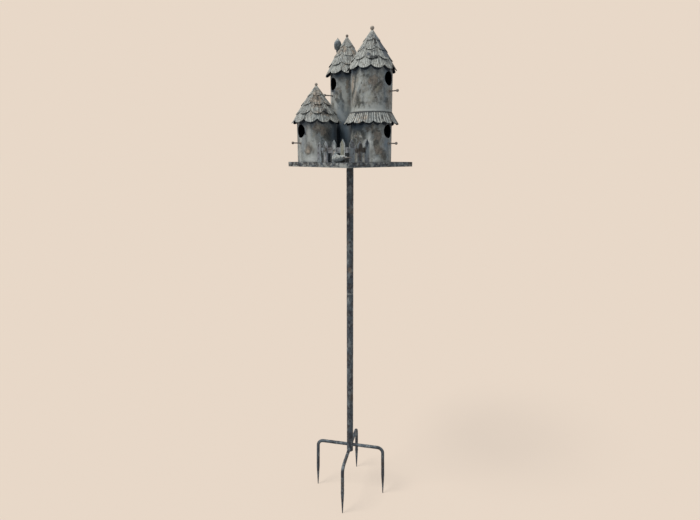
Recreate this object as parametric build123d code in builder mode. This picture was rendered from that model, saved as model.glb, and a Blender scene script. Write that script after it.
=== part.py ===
from build123d import *
import os
from math import atan, cos, radians, sin, sqrt

# A nest box tower for a garden: three round sheet-metal houses with conical roofs of
# scalloped shingles, on a square platform carried by a pole on four forged prongs.
# Millimetres, +Z up. The origin is on the ground under the axis of the pole, and the
# sides of the platform lie along X and Y. Heights of the houses are above the platform.

# Sheet metal and clearances
sheet = 1.0
seat_gap = 0.3

# Platform, a square tray turned upside down
platform_side = 305.0
platform_top = 1315.0
platform_sheet = 1.5
platform_rim = 15.5
platform_corner_r = 2.0

# Pole in two tubes, with a spigot inside the joint and a flange under the platform
pole_d = 25.0
pole_wall = 1.5
pole_foot_margin = 7.7
pole_joint = 839.0
spigot_length = 120.0
spigot_wall = 1.5
flange_d = 70.0
flange_thick = 3.0

# Two bent bars cross inside the foot of the pole and end in four tapered prongs
prong_d = 12.5
prong_tip_d = 3.2
prong_tip_radius = 136.0
prong_splay = 4.0
prong_bend_r = 22.0
prong_taper = 84.0
upper_bar_height = 206.0
upper_bar_angle = 36.0
lower_bar_angle = -54.8

# Entry holes and perches
entry_d = 42.0
perch_drop = 38.5
perch_rod_d = 4.0
perch_ball_d = 9.0
perch_reach = 31.0
perch_inside = 3.0

# Roofs: every roof has four rows of shingles, and the shares give each row's lower edge.
# The turns give the angle of one shingle's middle in each row, from the tip downwards.
row_height_shares = (0.28, 0.53, 0.77, 1.0)
row_radius_shares = (0.36, 0.615, 0.84, 1.0)
shingle_depth = 12.0
shingle_tuck = 17.0
cap_top_r = 4.0

# Finials
left_finial_d = 10.0
right_finial_d = 13.0
rear_finial_d = 10.0
finial_neck_d = 5.0
finial_collar = 1.0
finial_pin = 4.0

# Left house, a single storey
left_x = -76.3
left_y = -83.4
left_r = 67.0
left_rim_r = 84.3
left_rim_height = 127.0
left_apex_height = 247.5
left_entry_height = 100.6
left_entry_angle = -93.0
left_shingle_counts = (5, 7, 9, 11)
left_row_turns = (33.5, 17.9, 2.5, 11.5)

# Right tower, two storeys with a skirt of shingles between them
right_x = 77.0
right_y = 25.0
right_r = 68.0
right_rim_r = 81.0
right_rim_height = 285.0
right_apex_height = 408.7
right_storey_height = 158.0
right_low_entry_height = 98.3
right_top_entry_height = 259.1
right_entry_angle = 10.0
right_shingle_counts = (5, 7, 9, 11)
right_row_turns = (7.0, 49.2, 34.2, 2.0)
skirt_low_height = 121.0
skirt_low_r = 91.5
skirt_depth = 8.0
skirt_shingle_count = 16
skirt_turn = 15.9

# Rear tower, one tall storey
rear_x = -83.0
rear_y = 62.0
rear_r = 59.0
rear_rim_r = 77.0
rear_rim_height = 294.0
rear_apex_height = 421.0
rear_entry_height = 264.3
rear_entry_angle = -102.0
rear_shingle_counts = (5, 6, 8, 10)
rear_row_turns = (39.8, 23.2, 7.4, 31.8)

# Picket fence behind the two front edges. Each picket has its place along the wing,
# from the fence's corner, and its height.
picket_width = 21.0
picket_thick = 1.5
picket_shoulder = 14.0
fence_inset = 20.0
rail_low = 29.0
rail_high = 46.0
left_wing_places = (22.0, 63.0, 104.0, 136.0)
left_wing_heights = (71.0, 70.0, 67.0, 66.0)
right_wing_places = (20.0, 54.0, 85.0)
right_wing_heights = (70.0, 67.0, 72.0)

# Birds, both of one pattern: a round body, a head above the chest and a flat tail
bird_body_d = 26.0
bird_rump_d = 8.0
bird_head_d = 14.0
bird_head_back = 12.0
bird_head_up = 14.0
bird_beak_d = 5.0
bird_beak_tip_d = 1.2
bird_beak_length = 6.0
bird_tail_width = 12.0
bird_tail_thick = 3.0
roof_bird_length = 42.0
roof_bird_tail = 14.0
roof_bird_pitch = 50.0
roof_bird_heading = -45.0
roof_bird_radius = 35.3
roof_bird_angle = 222.0
roof_bird_height = 395.0
fence_bird_length = 55.0
fence_bird_tail = 28.0
fence_bird_along = 26.0

os.makedirs("parts", exist_ok=True)


def save(shape, name):
    """Label one finished piece and write its file."""
    shape.part.label = name
    export_step(shape.part, f"parts/{name}.step")


def outward(angle):
    """Unit vector that points away from an axis at an angle in the ground plane."""
    return (cos(radians(angle)), sin(radians(angle)), 0)


def ring_tube(name, x, y, outer_r, wall, low, high):
    """A plain round tube between two heights."""
    with BuildPart() as tube:
        with BuildSketch(Plane(origin=(x, y, low))):
            Circle(outer_r)
            Circle(outer_r - wall, mode=Mode.SUBTRACT)
        extrude(amount=high - low)
    save(tube, name)


# Platform
with BuildPart() as platform:
    with BuildSketch(Plane.XY.offset(platform_top - platform_rim)):
        Rectangle(platform_side, platform_side)
    extrude(amount=platform_rim)
    fillet(platform.edges().filter_by(Axis.Z), radius=platform_corner_r)
    offset(
        amount=-platform_sheet,
        openings=platform.faces().sort_by(Axis.Z)[0],
        kind=Kind.INTERSECTION,
    )
save(platform, "platform")

flange_low = platform_top - platform_sheet - flange_thick
with BuildPart() as pole_flange:
    with BuildSketch(Plane.XY.offset(flange_low)):
        Circle(flange_d / 2)
    extrude(amount=flange_thick)
    chamfer(pole_flange.edges().sort_by(Axis.Z)[0], length=flange_thick / 3)
save(pole_flange, "pole_flange")

# Pole
ring_tube("upper_pole", 0, 0, pole_d / 2, pole_wall, pole_joint, flange_low)

spigot_r = pole_d / 2 - pole_wall - seat_gap
ring_tube(
    "pole_spigot", 0, 0, spigot_r, spigot_wall,
    pole_joint - spigot_length / 2, pole_joint + spigot_length / 2,
)

lower_bar_height = upper_bar_height - prong_d - seat_gap
pole_foot = lower_bar_height - prong_d / 2 - pole_foot_margin
with BuildPart() as lower_pole:
    with BuildSketch(Plane.XY.offset(pole_foot)):
        Circle(pole_d / 2)
        Circle(pole_d / 2 - pole_wall, mode=Mode.SUBTRACT)
    extrude(amount=pole_joint - pole_foot)
    for height, angle in ((upper_bar_height, upper_bar_angle), (lower_bar_height, lower_bar_angle)):
        with BuildSketch(Plane(origin=(0, 0, height), z_dir=outward(angle))):
            Circle(prong_d / 2 + seat_gap)
        extrude(amount=pole_d, both=True, mode=Mode.SUBTRACT)
save(lower_pole, "lower_pole")


def prong_bar(name, height, angle):
    """A bar bent down at both ends into two legs that taper to the ground."""
    bar_plane = Plane(origin=(0, 0, 0), x_dir=outward(angle), z_dir=outward(angle - 90))
    shoulder_r = prong_tip_radius - prong_splay
    lean = prong_splay / height
    taper_r = prong_tip_radius - prong_taper * lean
    with BuildPart() as bar:
        with BuildLine(bar_plane) as route:
            FilletPolyline(
                (-taper_r, prong_taper),
                (-shoulder_r, height),
                (shoulder_r, height),
                (taper_r, prong_taper),
                radius=prong_bend_r,
            )
        with BuildSketch(Plane(origin=route.line @ 0, z_dir=route.line % 0)):
            Circle(prong_d / 2)
        sweep()
        for side in (-1, 1):
            root = bar_plane.from_local_coords(Vector(side * taper_r, prong_taper, 0))
            tip = bar_plane.from_local_coords(Vector(side * prong_tip_radius, 0, 0))
            with Locations(Plane(origin=root, z_dir=tip - root)):
                Cone(
                    prong_d / 2, prong_tip_d / 2, (tip - root).length + prong_tip_d * lean,
                    align=(Align.CENTER, Align.CENTER, Align.MIN),
                )
        split(bisect_by=Plane.XY, keep=Keep.TOP)
    save(bar, name)


prong_bar("prong_bar_upper", upper_bar_height, upper_bar_angle)
prong_bar("prong_bar_lower", lower_bar_height, lower_bar_angle)


def house_wall(name, x, y, radius, low, high, entry_height, entry_angle):
    """A round wall with its entry hole and the small hole that holds the perch."""
    with BuildPart() as wall:
        with BuildSketch(Plane(origin=(x, y, platform_top + low))):
            Circle(radius)
            Circle(radius - sheet, mode=Mode.SUBTRACT)
        extrude(amount=high - low)
        entry = Plane(origin=(x, y, platform_top + entry_height), z_dir=outward(entry_angle))
        with BuildSketch(entry):
            Circle(entry_d / 2)
        extrude(amount=radius + sheet, mode=Mode.SUBTRACT)
        perch_height = platform_top + entry_height - perch_drop
        with BuildSketch(Plane(origin=(x, y, perch_height), z_dir=outward(entry_angle))):
            Circle(perch_rod_d / 2 + seat_gap)
        extrude(amount=radius + sheet, mode=Mode.SUBTRACT)
    save(wall, name)


def perch(name, x, y, radius, entry_height, entry_angle):
    """A turned perch: a thin rod through the wall with a ball at its end."""
    height = platform_top + entry_height - perch_drop
    side_on = Plane(origin=(x, y, height), x_dir=outward(entry_angle), z_dir=outward(entry_angle - 90))
    rod_r = perch_rod_d / 2
    ball_r = perch_ball_d / 2
    inner = radius - sheet - perch_inside
    ball_x = radius + perch_reach
    with BuildPart() as rod:
        with BuildSketch(side_on):
            with BuildLine():
                Polyline(
                    (ball_x + ball_r, 0),
                    (inner, 0),
                    (inner, rod_r),
                    (ball_x - sqrt(ball_r**2 - rod_r**2), rod_r),
                )
                ThreePointArc(
                    (ball_x - sqrt(ball_r**2 - rod_r**2), rod_r),
                    (ball_x, ball_r),
                    (ball_x + ball_r, 0),
                )
            make_face()
        revolve(axis=Axis((x, y, height), outward(entry_angle)))
    save(rod, name)


def shingle_ring(name, x, y, top_r, top, low_r, low, count, depth, turn):
    """A conical sheet whose lower edge is cut to overlapping scalloped shingles."""
    half_angle = atan((low_r - top_r) / (top - low))
    flare = (low_r - top_r) / (top - low)
    inward_r = sheet * cos(half_angle)
    inward_z = sheet * sin(half_angle)
    section = Plane(origin=(x, y, platform_top), x_dir=(1, 0, 0), z_dir=(0, -1, 0))
    cut_low = low - depth / 2
    cut_low_r = low_r + flare * depth / 2
    with BuildPart() as ring:
        with BuildSketch(section):
            with BuildLine():
                Polyline(
                    (top_r, top),
                    (cut_low_r, cut_low),
                    (cut_low_r - inward_r, cut_low - inward_z),
                    (top_r - inward_r, top - inward_z),
                    close=True,
                )
            make_face()
        revolve(axis=Axis((x, y, 0), (0, 0, 1)))
        cusp_r = low_r - flare * depth
        step = 360 / count
        with BuildSketch(Plane(origin=(x, y, platform_top + cut_low - depth))):
            with BuildLine():
                for shingle in range(count):
                    middle = turn + shingle * step
                    ThreePointArc(
                        Vector(cusp_r, 0).rotate(Axis.Z, middle - step / 2),
                        Vector(low_r, 0).rotate(Axis.Z, middle),
                        Vector(cusp_r, 0).rotate(Axis.Z, middle + step / 2),
                    )
            make_face()
        extrude(amount=top - cut_low + 2 * depth, mode=Mode.INTERSECT)
    save(ring, name)


def roof(name, x, y, rim_r, rim, apex, counts, turns):
    """Four rings of shingles, each tucked under the one above it; returns the last ring."""
    above_r = cap_top_r
    above_top = apex
    above_low_r = cap_top_r
    above_low = apex
    for row, count in enumerate(counts):
        low_r = rim_r * row_radius_shares[row]
        low = apex - (apex - rim) * row_height_shares[row]
        top_r = cap_top_r
        top = apex
        if row > 0:
            above_flare = (above_low_r - above_r) / (above_top - above_low)
            under_edge_r = above_low_r - (sheet + seat_gap) * sqrt(1 + above_flare**2)
            own_flare = (low_r - under_edge_r) / (above_low - low)
            top = above_low + shingle_tuck
            top_r = under_edge_r - shingle_tuck * max(above_flare, own_flare)
        shingle_ring(
            f"{name}_roof_row_{row + 1}", x, y, top_r, top, low_r, low, count, shingle_depth,
            turns[row],
        )
        above_r = top_r
        above_top = top
        above_low_r = low_r
        above_low = low
    return (above_r, above_top, above_low_r, above_low)


def finial(name, x, y, apex, ball_d):
    """A ball on a short neck, with a collar on the roof's tip and a pin inside it."""
    ball_r = ball_d / 2
    neck_r = finial_neck_d / 2
    ball_height = apex + finial_collar + sqrt(ball_r**2 - neck_r**2)
    section = Plane(origin=(x, y, platform_top), x_dir=(1, 0, 0), z_dir=(0, -1, 0))
    pin_r = cap_top_r - sheet - seat_gap
    with BuildPart() as top:
        with BuildSketch(section):
            with BuildLine():
                Polyline(
                    (0, ball_height + ball_r),
                    (0, apex - finial_pin),
                    (pin_r - sheet / 2, apex - finial_pin),
                    (pin_r - sheet / 2, apex),
                    (cap_top_r - seat_gap, apex),
                    (cap_top_r - seat_gap, apex + finial_collar),
                    (neck_r, apex + finial_collar),
                )
                ThreePointArc(
                    (neck_r, apex + finial_collar),
                    (ball_r, ball_height),
                    (0, ball_height + ball_r),
                )
            make_face()
        revolve(axis=Axis((x, y, 0), (0, 0, 1)))
    save(top, name)


def wall_top(radius, bottom_row):
    """Height at which a wall meets the underside of the lowest ring of its roof."""
    top_r, top, low_r, low = bottom_row
    flare = (low_r - top_r) / (top - low)
    clear = (sheet + seat_gap) * sqrt(1 + flare**2)
    return low + (low_r - clear - radius) / flare


# Left house
left_row = roof(
    "left", left_x, left_y, left_rim_r, left_rim_height, left_apex_height,
    left_shingle_counts, left_row_turns,
)
house_wall(
    "left_wall", left_x, left_y, left_r, 0, wall_top(left_r, left_row),
    left_entry_height, left_entry_angle,
)
perch("left_perch", left_x, left_y, left_r, left_entry_height, left_entry_angle)
finial("left_finial", left_x, left_y, left_apex_height, left_finial_d)

# Right tower
right_row = roof(
    "right", right_x, right_y, right_rim_r, right_rim_height, right_apex_height,
    right_shingle_counts, right_row_turns,
)
storey_floor_low = right_storey_height - sheet
house_wall(
    "right_lower_wall", right_x, right_y, right_r, 0, storey_floor_low,
    right_low_entry_height, right_entry_angle,
)
with BuildPart() as storey_floor:
    with BuildSketch(Plane(origin=(right_x, right_y, platform_top + storey_floor_low))):
        Circle(right_r)
    extrude(amount=sheet)
save(storey_floor, "right_storey_floor")
house_wall(
    "right_upper_wall", right_x, right_y, right_r, right_storey_height,
    wall_top(right_r, right_row), right_top_entry_height, right_entry_angle,
)
shingle_ring(
    "right_skirt", right_x, right_y, right_r + seat_gap + sheet, right_storey_height,
    skirt_low_r, skirt_low_height, skirt_shingle_count, skirt_depth, skirt_turn,
)
perch("right_lower_perch", right_x, right_y, right_r, right_low_entry_height, right_entry_angle)
perch("right_upper_perch", right_x, right_y, right_r, right_top_entry_height, right_entry_angle)
finial("right_finial", right_x, right_y, right_apex_height, right_finial_d)

# Rear tower
rear_row = roof(
    "rear", rear_x, rear_y, rear_rim_r, rear_rim_height, rear_apex_height,
    rear_shingle_counts, rear_row_turns,
)
house_wall(
    "rear_wall", rear_x, rear_y, rear_r, 0, wall_top(rear_r, rear_row),
    rear_entry_height, rear_entry_angle,
)
perch("rear_perch", rear_x, rear_y, rear_r, rear_entry_height, rear_entry_angle)
finial("rear_finial", rear_x, rear_y, rear_apex_height, rear_finial_d)


def fence_wing(name, along, inward, places, heights, rail_start):
    """Pointed pickets on one rail, in a plane that runs from the fence's corner."""
    corner = Vector(1, -1, 0) * (platform_side / 2 - fence_inset)
    start = corner + Vector(0, 0, platform_top)
    face = Plane(origin=start, x_dir=along, z_dir=Vector(along).cross(Vector(0, 0, 1)))
    facing_in = face.z_dir.dot(Vector(inward))
    half = picket_width / 2
    with BuildPart() as wing:
        with BuildSketch(face):
            for middle, height in zip(places, heights):
                with BuildLine():
                    Polyline(
                        (middle - half, 0),
                        (middle + half, 0),
                        (middle + half, height - picket_shoulder),
                        (middle, height),
                        (middle - half, height - picket_shoulder),
                        close=True,
                    )
                make_face()
        extrude(amount=picket_thick * facing_in)
        rail_end = places[-1] + half
        with BuildSketch(face.offset(picket_thick * facing_in)):
            with BuildLine():
                Polyline(
                    (rail_start, rail_low),
                    (rail_end, rail_low),
                    (rail_end, rail_high),
                    (rail_start, rail_high),
                    close=True,
                )
            make_face()
        extrude(amount=picket_thick * facing_in)
    save(wing, name)


fence_wing(
    "fence_left", (-1, 0, 0), (0, 1, 0), left_wing_places, left_wing_heights, 0,
)
fence_wing(
    "fence_right", (0, 1, 0), (-1, 0, 0), right_wing_places, right_wing_heights,
    2 * picket_thick + seat_gap,
)


def bird(name, place, heading, pitch, length, tail):
    """A small cast bird; its frame looks at it side on, with the beak along +x."""
    forward = Vector(outward(heading)) * cos(radians(pitch)) + Vector(0, 0, sin(radians(pitch)))
    frame = Plane(origin=place, x_dir=forward, z_dir=outward(heading - 90))
    rump = -length / 2
    chest = length / 2
    chest_r = bird_body_d / 2
    chest_x = chest - chest_r
    with BuildPart() as figure:
        with BuildSketch(frame):
            with BuildLine():
                Polyline((chest, 0), (rump, 0), (rump, bird_rump_d / 2), (chest_x, chest_r))
                ThreePointArc(
                    (chest_x, chest_r),
                    (chest_x + chest_r * cos(radians(45)), chest_r * sin(radians(45))),
                    (chest, 0),
                )
            make_face()
        revolve(axis=Axis(place, forward))
        head = frame.from_local_coords(Vector(chest - bird_head_back, bird_head_up, 0))
        with Locations(head):
            Sphere(bird_head_d / 2)
        with Locations(Plane(origin=head, z_dir=outward(heading))):
            Cone(
                bird_beak_d / 2, bird_beak_tip_d / 2, bird_head_d / 2 + bird_beak_length,
                align=(Align.CENTER, Align.CENTER, Align.MIN),
            )
        with BuildSketch(frame):
            with BuildLine():
                Polyline(
                    (rump / 2, -bird_tail_thick / 2),
                    (rump / 2, bird_tail_thick / 2),
                    (rump - tail, bird_tail_thick),
                    (rump - tail, 0),
                    close=True,
                )
            make_face()
        extrude(amount=bird_tail_width / 2, both=True)
    save(figure, name)


# A bird perched on the slope of the rear roof and one on the platform before the fence
roof_bird_place = (
    rear_x + roof_bird_radius * cos(radians(roof_bird_angle)),
    rear_y + roof_bird_radius * sin(radians(roof_bird_angle)),
    platform_top + roof_bird_height,
)
bird(
    "roof_bird", roof_bird_place, roof_bird_heading, roof_bird_pitch,
    roof_bird_length, roof_bird_tail,
)
fence_bird_place = (
    platform_side / 2 - fence_inset - fence_bird_along,
    -platform_side / 2 + fence_inset - bird_body_d / 2 - seat_gap,
    platform_top + bird_body_d / 2 + seat_gap,
)
bird("fence_bird", fence_bird_place, 180, 0, fence_bird_length, fence_bird_tail)
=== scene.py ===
# %% [markdown]
# # A nest box tower in weathered sheet metal
# Three round houses stand on a square tray, and the tray stands on a pole with four
# forged prongs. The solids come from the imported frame. This file gives each of them
# its thin sheet, flutes, seams, turned edges and worn paint, piece by piece, in the
# same place and to the same size, because the frame's sizes are the true ones.

# %% The frame and Blender's modules
import random
from math import atan2, cos, degrees, exp, pi, radians, sin, sqrt

import bmesh
import bpy
from mathutils import Matrix, Vector, noise


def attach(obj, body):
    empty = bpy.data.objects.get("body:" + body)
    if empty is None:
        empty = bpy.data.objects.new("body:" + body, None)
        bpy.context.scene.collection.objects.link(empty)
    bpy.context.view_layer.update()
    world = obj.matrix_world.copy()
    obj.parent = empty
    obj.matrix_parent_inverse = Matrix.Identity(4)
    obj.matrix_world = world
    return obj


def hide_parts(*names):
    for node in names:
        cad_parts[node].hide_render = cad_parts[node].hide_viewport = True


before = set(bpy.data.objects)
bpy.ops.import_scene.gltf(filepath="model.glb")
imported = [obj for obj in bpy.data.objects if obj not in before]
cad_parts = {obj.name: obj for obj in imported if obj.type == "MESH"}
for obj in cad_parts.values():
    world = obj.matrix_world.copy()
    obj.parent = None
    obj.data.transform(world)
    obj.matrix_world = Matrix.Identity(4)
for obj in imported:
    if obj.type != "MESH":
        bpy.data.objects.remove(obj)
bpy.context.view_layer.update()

MM = 0.001
print("CAD nodes:", len(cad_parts))

# %% [markdown]
# ## The camera
# The photograph looks slightly down at the tower from the height of its platform, and
# from the side of the platform's near corner. A camera could be aimed with a constraint,
# but a plain matrix from three directions is exact and leaves nothing to evaluate.

# %% Camera
CAMERA_DISTANCE = 1.59626
CAMERA_HEIGHT = 1.33634
CAMERA_AZIMUTH = radians(-42.5)
CAMERA_PITCH = 0.228
CAMERA_LENS = 23.143
FAR_CLIP = 400
UPWARD = Vector((0, 0, 1))
OUTWARD = Vector((cos(CAMERA_AZIMUTH), sin(CAMERA_AZIMUTH), 0))
SIDEWAYS = UPWARD.cross(OUTWARD)


def link_new(name, data):
    """A new object with this data, linked to the scene."""
    made = bpy.data.objects.new(name, data)
    bpy.context.scene.collection.objects.link(made)
    return made


camera_data = bpy.data.cameras.new("photo_camera")
camera_data.lens = CAMERA_LENS
camera_data.clip_end = FAR_CLIP
camera = link_new("photo_camera", camera_data)
backward = OUTWARD * cos(CAMERA_PITCH) + UPWARD * sin(CAMERA_PITCH)
turn = Matrix((SIDEWAYS, backward.cross(SIDEWAYS), backward)).transposed()
place = OUTWARD * CAMERA_DISTANCE + UPWARD * CAMERA_HEIGHT
camera.matrix_world = Matrix.Translation(place) @ turn.to_4x4()
bpy.context.scene.camera = camera
print("camera at", [round(c, 3) for c in place])

# %% [markdown]
# ## Daylight
# The light on the object is a pale overcast sky and a broad, soft sun from the camera's
# left, so its shadow lies faintly on the floor to the right. Together they light a
# level surface to about its own colour. A lamp close by would fade over the tall pole;
# a sun lights top and foot alike.

# %% Sun
SUN_SHARE = 0.62
SKY_SHARE = 0.50
SUN_COLOUR = (1.0, 0.985, 0.955)
SKY_COLOUR = (0.89, 0.98, 1.09)
SUN_TO_LEFT, SUN_TO_CAMERA, SUN_UP = 0.794, 0.387, 1.48
SUN_SPREAD = radians(22)

sun_direction = (UPWARD * SUN_UP + OUTWARD * SUN_TO_CAMERA - SIDEWAYS * SUN_TO_LEFT).normalized()
sun_data = bpy.data.lights.new("sun", "SUN")
sun_data.energy = SUN_SHARE * pi / sun_direction.z
sun_data.angle = SUN_SPREAD
sun_data.color = SUN_COLOUR
sun = link_new("sun", sun_data)
sun.rotation_mode = "QUATERNION"
sun.rotation_quaternion = sun_direction.to_track_quat("Z", "Y")
bpy.context.scene.view_settings.view_transform = "Standard"
print("the sun stands", round(90 - degrees(sun_direction.angle(UPWARD))), "degrees high")

# %% [markdown]
# ## Small tools for node trees
# Every material below is made of the same few steps: add a node, set some of its
# sockets, link others. Blender's own calls take several lines for each of them, so a
# few short helpers keep the steps readable.

# %% Node helpers


def set_socket(tree, socket, value):
    """Links a socket to another one, or gives it a plain value."""
    if isinstance(value, bpy.types.NodeSocket):
        tree.links.new(value, socket)
    elif socket.type == "RGBA":
        socket.default_value = (*value, 1)
    else:
        socket.default_value = value


def add(tree, kind, sockets=None, **properties):
    """A new node with some properties set, and sockets given a value or linked."""
    made = tree.nodes.new(kind)
    for key, value in properties.items():
        setattr(made, key, value)
    for key, value in (sockets or {}).items():
        set_socket(tree, made.inputs[key], value)
    return made


def mix(tree, mask, first, second):
    """Colour `first` where the mask is 0 and `second` where it is 1."""
    return add(tree, "ShaderNodeMix", data_type="RGBA", sockets={0: mask, 6: first, 7: second}).outputs[2]


def calc(tree, operation, first, second=0.0, third=0.0, clamp=False):
    """One step of arithmetic on two or three values."""
    values = {0: first, 1: second, 2: third}
    return add(tree, "ShaderNodeMath", values, operation=operation, use_clamp=clamp).outputs[0]


def painted(tree, name):
    """A value that the mesh carries at each of its points."""
    return add(tree, "ShaderNodeAttribute", attribute_name=name).outputs["Fac"]


print("helpers:", [f.__name__ for f in (add, mix, calc, painted)])

# %% [markdown]
# ## Backdrop
# The photograph's background is one flat beige, and only the shadow tells that there is
# a floor. A floor lit by the sun and the sky has the same brightness everywhere, so its
# colour is divided by that light and meets the sky's beige without a line. Two thirds
# of it glow evenly instead, which makes the shadow as faint as the photograph's. The
# beige is for the camera, reflections and glass; towards the object both are plain grey.

# %% World and floor
BEIGE = (0.806, 0.687, 0.578)
FLOOR_FOR_OBJECT = 0.30
FLOOR_FLATNESS = 0.66
FLOOR_REACH = 150


def seen_directly(tree):
    """1 for rays from the camera, a reflection or through glass, and 0 for the rest."""
    path = tree.nodes.new("ShaderNodeLightPath").outputs
    either = calc(tree, "MAXIMUM", path["Is Camera Ray"], path["Is Glossy Ray"])
    return calc(tree, "MAXIMUM", either, path["Is Transmission Ray"])


world = bpy.data.worlds.new("overcast")
bpy.context.scene.world = world
world.use_nodes = True
tree = world.node_tree
tree.nodes.clear()
sky = add(tree, "ShaderNodeBackground", {"Color": SKY_COLOUR, "Strength": SKY_SHARE}).outputs[0]
backdrop = add(tree, "ShaderNodeBackground", {"Color": BEIGE, "Strength": 1.0}).outputs[0]
either = add(tree, "ShaderNodeMixShader", {0: seen_directly(tree), 1: sky, 2: backdrop}).outputs[0]
add(tree, "ShaderNodeOutputWorld", {"Surface": either})

floor_material = bpy.data.materials.new("beige_floor")
floor_material.use_nodes = True
tree = floor_material.node_tree
tree.nodes.clear()
light = [SUN_SHARE * a + SKY_SHARE * b for a, b in zip(SUN_COLOUR, SKY_COLOUR)]
floor_beige = [a / b for a, b in zip(BEIGE, light)]
floor_colour = mix(tree, seen_directly(tree), (FLOOR_FOR_OBJECT,) * 3, floor_beige)
lit_floor = add(tree, "ShaderNodeBsdfDiffuse", {"Color": floor_colour}).outputs[0]
flat_floor = add(tree, "ShaderNodeEmission", {"Color": BEIGE, "Strength": 1.0}).outputs[0]
share = calc(tree, "MULTIPLY", seen_directly(tree), FLOOR_FLATNESS)
either = add(tree, "ShaderNodeMixShader", {0: share, 1: lit_floor, 2: flat_floor}).outputs[0]
add(tree, "ShaderNodeOutputMaterial", {"Surface": either})

bm = bmesh.new()
bmesh.ops.create_grid(bm, x_segments=2, y_segments=2, size=FLOOR_REACH)
floor_mesh = bpy.data.meshes.new("floor")
bm.to_mesh(floor_mesh)
bm.free()
floor_mesh.materials.append(floor_material)
link_new("floor", floor_mesh)
print("floor colour", [round(c, 3) for c in floor_beige])

# %% [markdown]
# ## Sizes of the tower
# The numbers are the real ones in millimetres, as the CAD model has them, with heights
# counted from the platform's top. Blender works in metres, so they are multiplied by MM
# where they become places. `entry` is where a house looks, in degrees round its axis.
# `counts` and `turns` are the shingles of each row and the angle of one of them, from
# the tip down. The lines under rows that start above `faint_above` are fainter.
# `ball_r` and `ball_chalk` are the radius and the paleness of the ball on the tip.

# %% Sizes
SHEET = 1.0
GAP = 0.3
PLATFORM_SIDE = 305.0
PLATFORM_TOP = 1315.0
PLATFORM_RIM = 15.5
ENTRY_R = 21.0
STOREY = 158.0
HOUSES = {
    "left": dict(
        x=-76.3, y=-83.4, r=67.0, rim_r=84.3, rim=127.0, apex=247.5, entry=-93.0,
        counts=(5, 7, 9, 11), turns=(33.5, 17.9, 2.5, 11.5), faint_above=225.0,
        ball_r=5.0, ball_chalk=0.7,
    ),
    "right": dict(
        x=77.0, y=25.0, r=68.0, rim_r=81.0, rim=285.0, apex=408.7, entry=10.0,
        counts=(5, 7, 9, 11), turns=(7.0, 49.2, 34.2, 2.0), faint_above=350.0,
        ball_r=6.5, ball_chalk=0.75,
    ),
    "rear": dict(
        x=-83.0, y=62.0, r=59.0, rim_r=77.0, rim=294.0, apex=421.0, entry=-102.0,
        counts=(5, 6, 8, 10), turns=(39.8, 23.2, 7.4, 31.8), faint_above=350.0,
        ball_r=5.0, ball_chalk=0.15,
    ),
}
ENTRIES = {"left": 100.6, "right_lower": 98.3, "right_upper": 259.1, "rear": 264.3}


def about(house, height, angle=0.0, reach=0.0):
    """A point at a height over the platform, at an angle and reach from a house's axis, in mm."""
    x, y = HOUSES[house]["x"], HOUSES[house]["y"]
    return Vector((x + reach * cos(angle), y + reach * sin(angle), PLATFORM_TOP + height))


print("apex heights:", {house: PLATFORM_TOP + sizes["apex"] for house, sizes in HOUSES.items()})

# %% [markdown]
# ## Finishing a piece
# Each piece is one mesh with its place in its points, smooth over round parts and
# sharp along real edges. It takes the place of its CAD solid, which stays for physics.
# Sheet gets its second side by solidify, whose new faces take the dark inside finish.

# %% Finish helpers
SHARP = radians(38)
WELD_MM = 0.02


def weld(bm, reach_mm=WELD_MM):
    """Joins points that lie together, and turns all faces outwards."""
    bmesh.ops.remove_doubles(bm, verts=bm.verts, dist=reach_mm * MM)
    bmesh.ops.recalc_face_normals(bm, faces=bm.faces)


def thicken(bm, thickness):
    """Gives a sheet its second side, whose faces take material 1."""
    front = set(bm.verts)
    bmesh.ops.solidify(bm, geom=bm.faces[:], thickness=thickness)
    for face in bm.faces:
        if front.isdisjoint(face.verts):
            face.material_index = 1


def finish_piece(name, bm, materials, node, sharp=SHARP):
    """Turns the bmesh into an object that stands for its CAD node."""
    mesh = bpy.data.meshes.new(name)
    bm.to_mesh(mesh)
    bm.free()
    for material in materials:
        mesh.materials.append(material)
    mesh.shade_smooth()
    mesh.set_sharp_from_angle(angle=sharp)
    piece = link_new(name, mesh)
    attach(piece, "root")
    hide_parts(node)
    print(name, len(mesh.polygons), "faces")


# %% [markdown]
# ## Curves for fades
# Dents, soot and chalk all fade in and out over some millimetres. Two curves do for
# all of them: an even step between two limits and a bell round a place.

# %% Fades


def smooth_step(value, low, high):
    """0 below low, 1 above high and an even turn between them."""
    t = min(max((value - low) / (high - low), 0.0), 1.0)
    return t * t * (3 - 2 * t)


def bell(distance, width):
    """1 at distance 0, fading to a third at the width."""
    return exp(-(distance / width) ** 2)


print("bell at its width:", round(bell(1, 1), 2))

# %% [markdown]
# ## Stains and painted shade that the mesh carries
# Where a big stain sits on the real tower is no accident of noise: rust starts at a
# scratch and chalk runs down from an edge. A picture could hold such stains, but a
# mesh can as well: each point keeps one number for each kind of stain or of painted
# shade, and a mark is a soft oval with a place, a half width, a half height, a strength
# and, where it runs askew, a lean. Strokes of one kind add up.

# %% Marks
FADED = 5


def paint_layers(bm, *names):
    """One number at each point of the mesh for each kind of stain or painted shade."""
    return {name: bm.verts.layers.float.new(name) for name in names}


def stain_point(vert, layers, marks, along, up, full_turn=None):
    """Adds to one point its share of every mark; a full turn makes `along` go round."""
    for kind, ovals in marks.items():
        for oval_along, oval_up, wide, tall, strength, *lean in ovals:
            aside = along - oval_along - sum(lean) * (up - oval_up)
            if full_turn:
                aside = (aside + full_turn / 2) % full_turn - full_turn / 2
            distance = (aside / wide) ** 2 + ((up - oval_up) / tall) ** 2
            if distance < FADED:
                vert[layers[kind]] += strength * exp(-distance)


print("a mark is left out where it is weaker than", round(exp(-FADED), 3))
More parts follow.
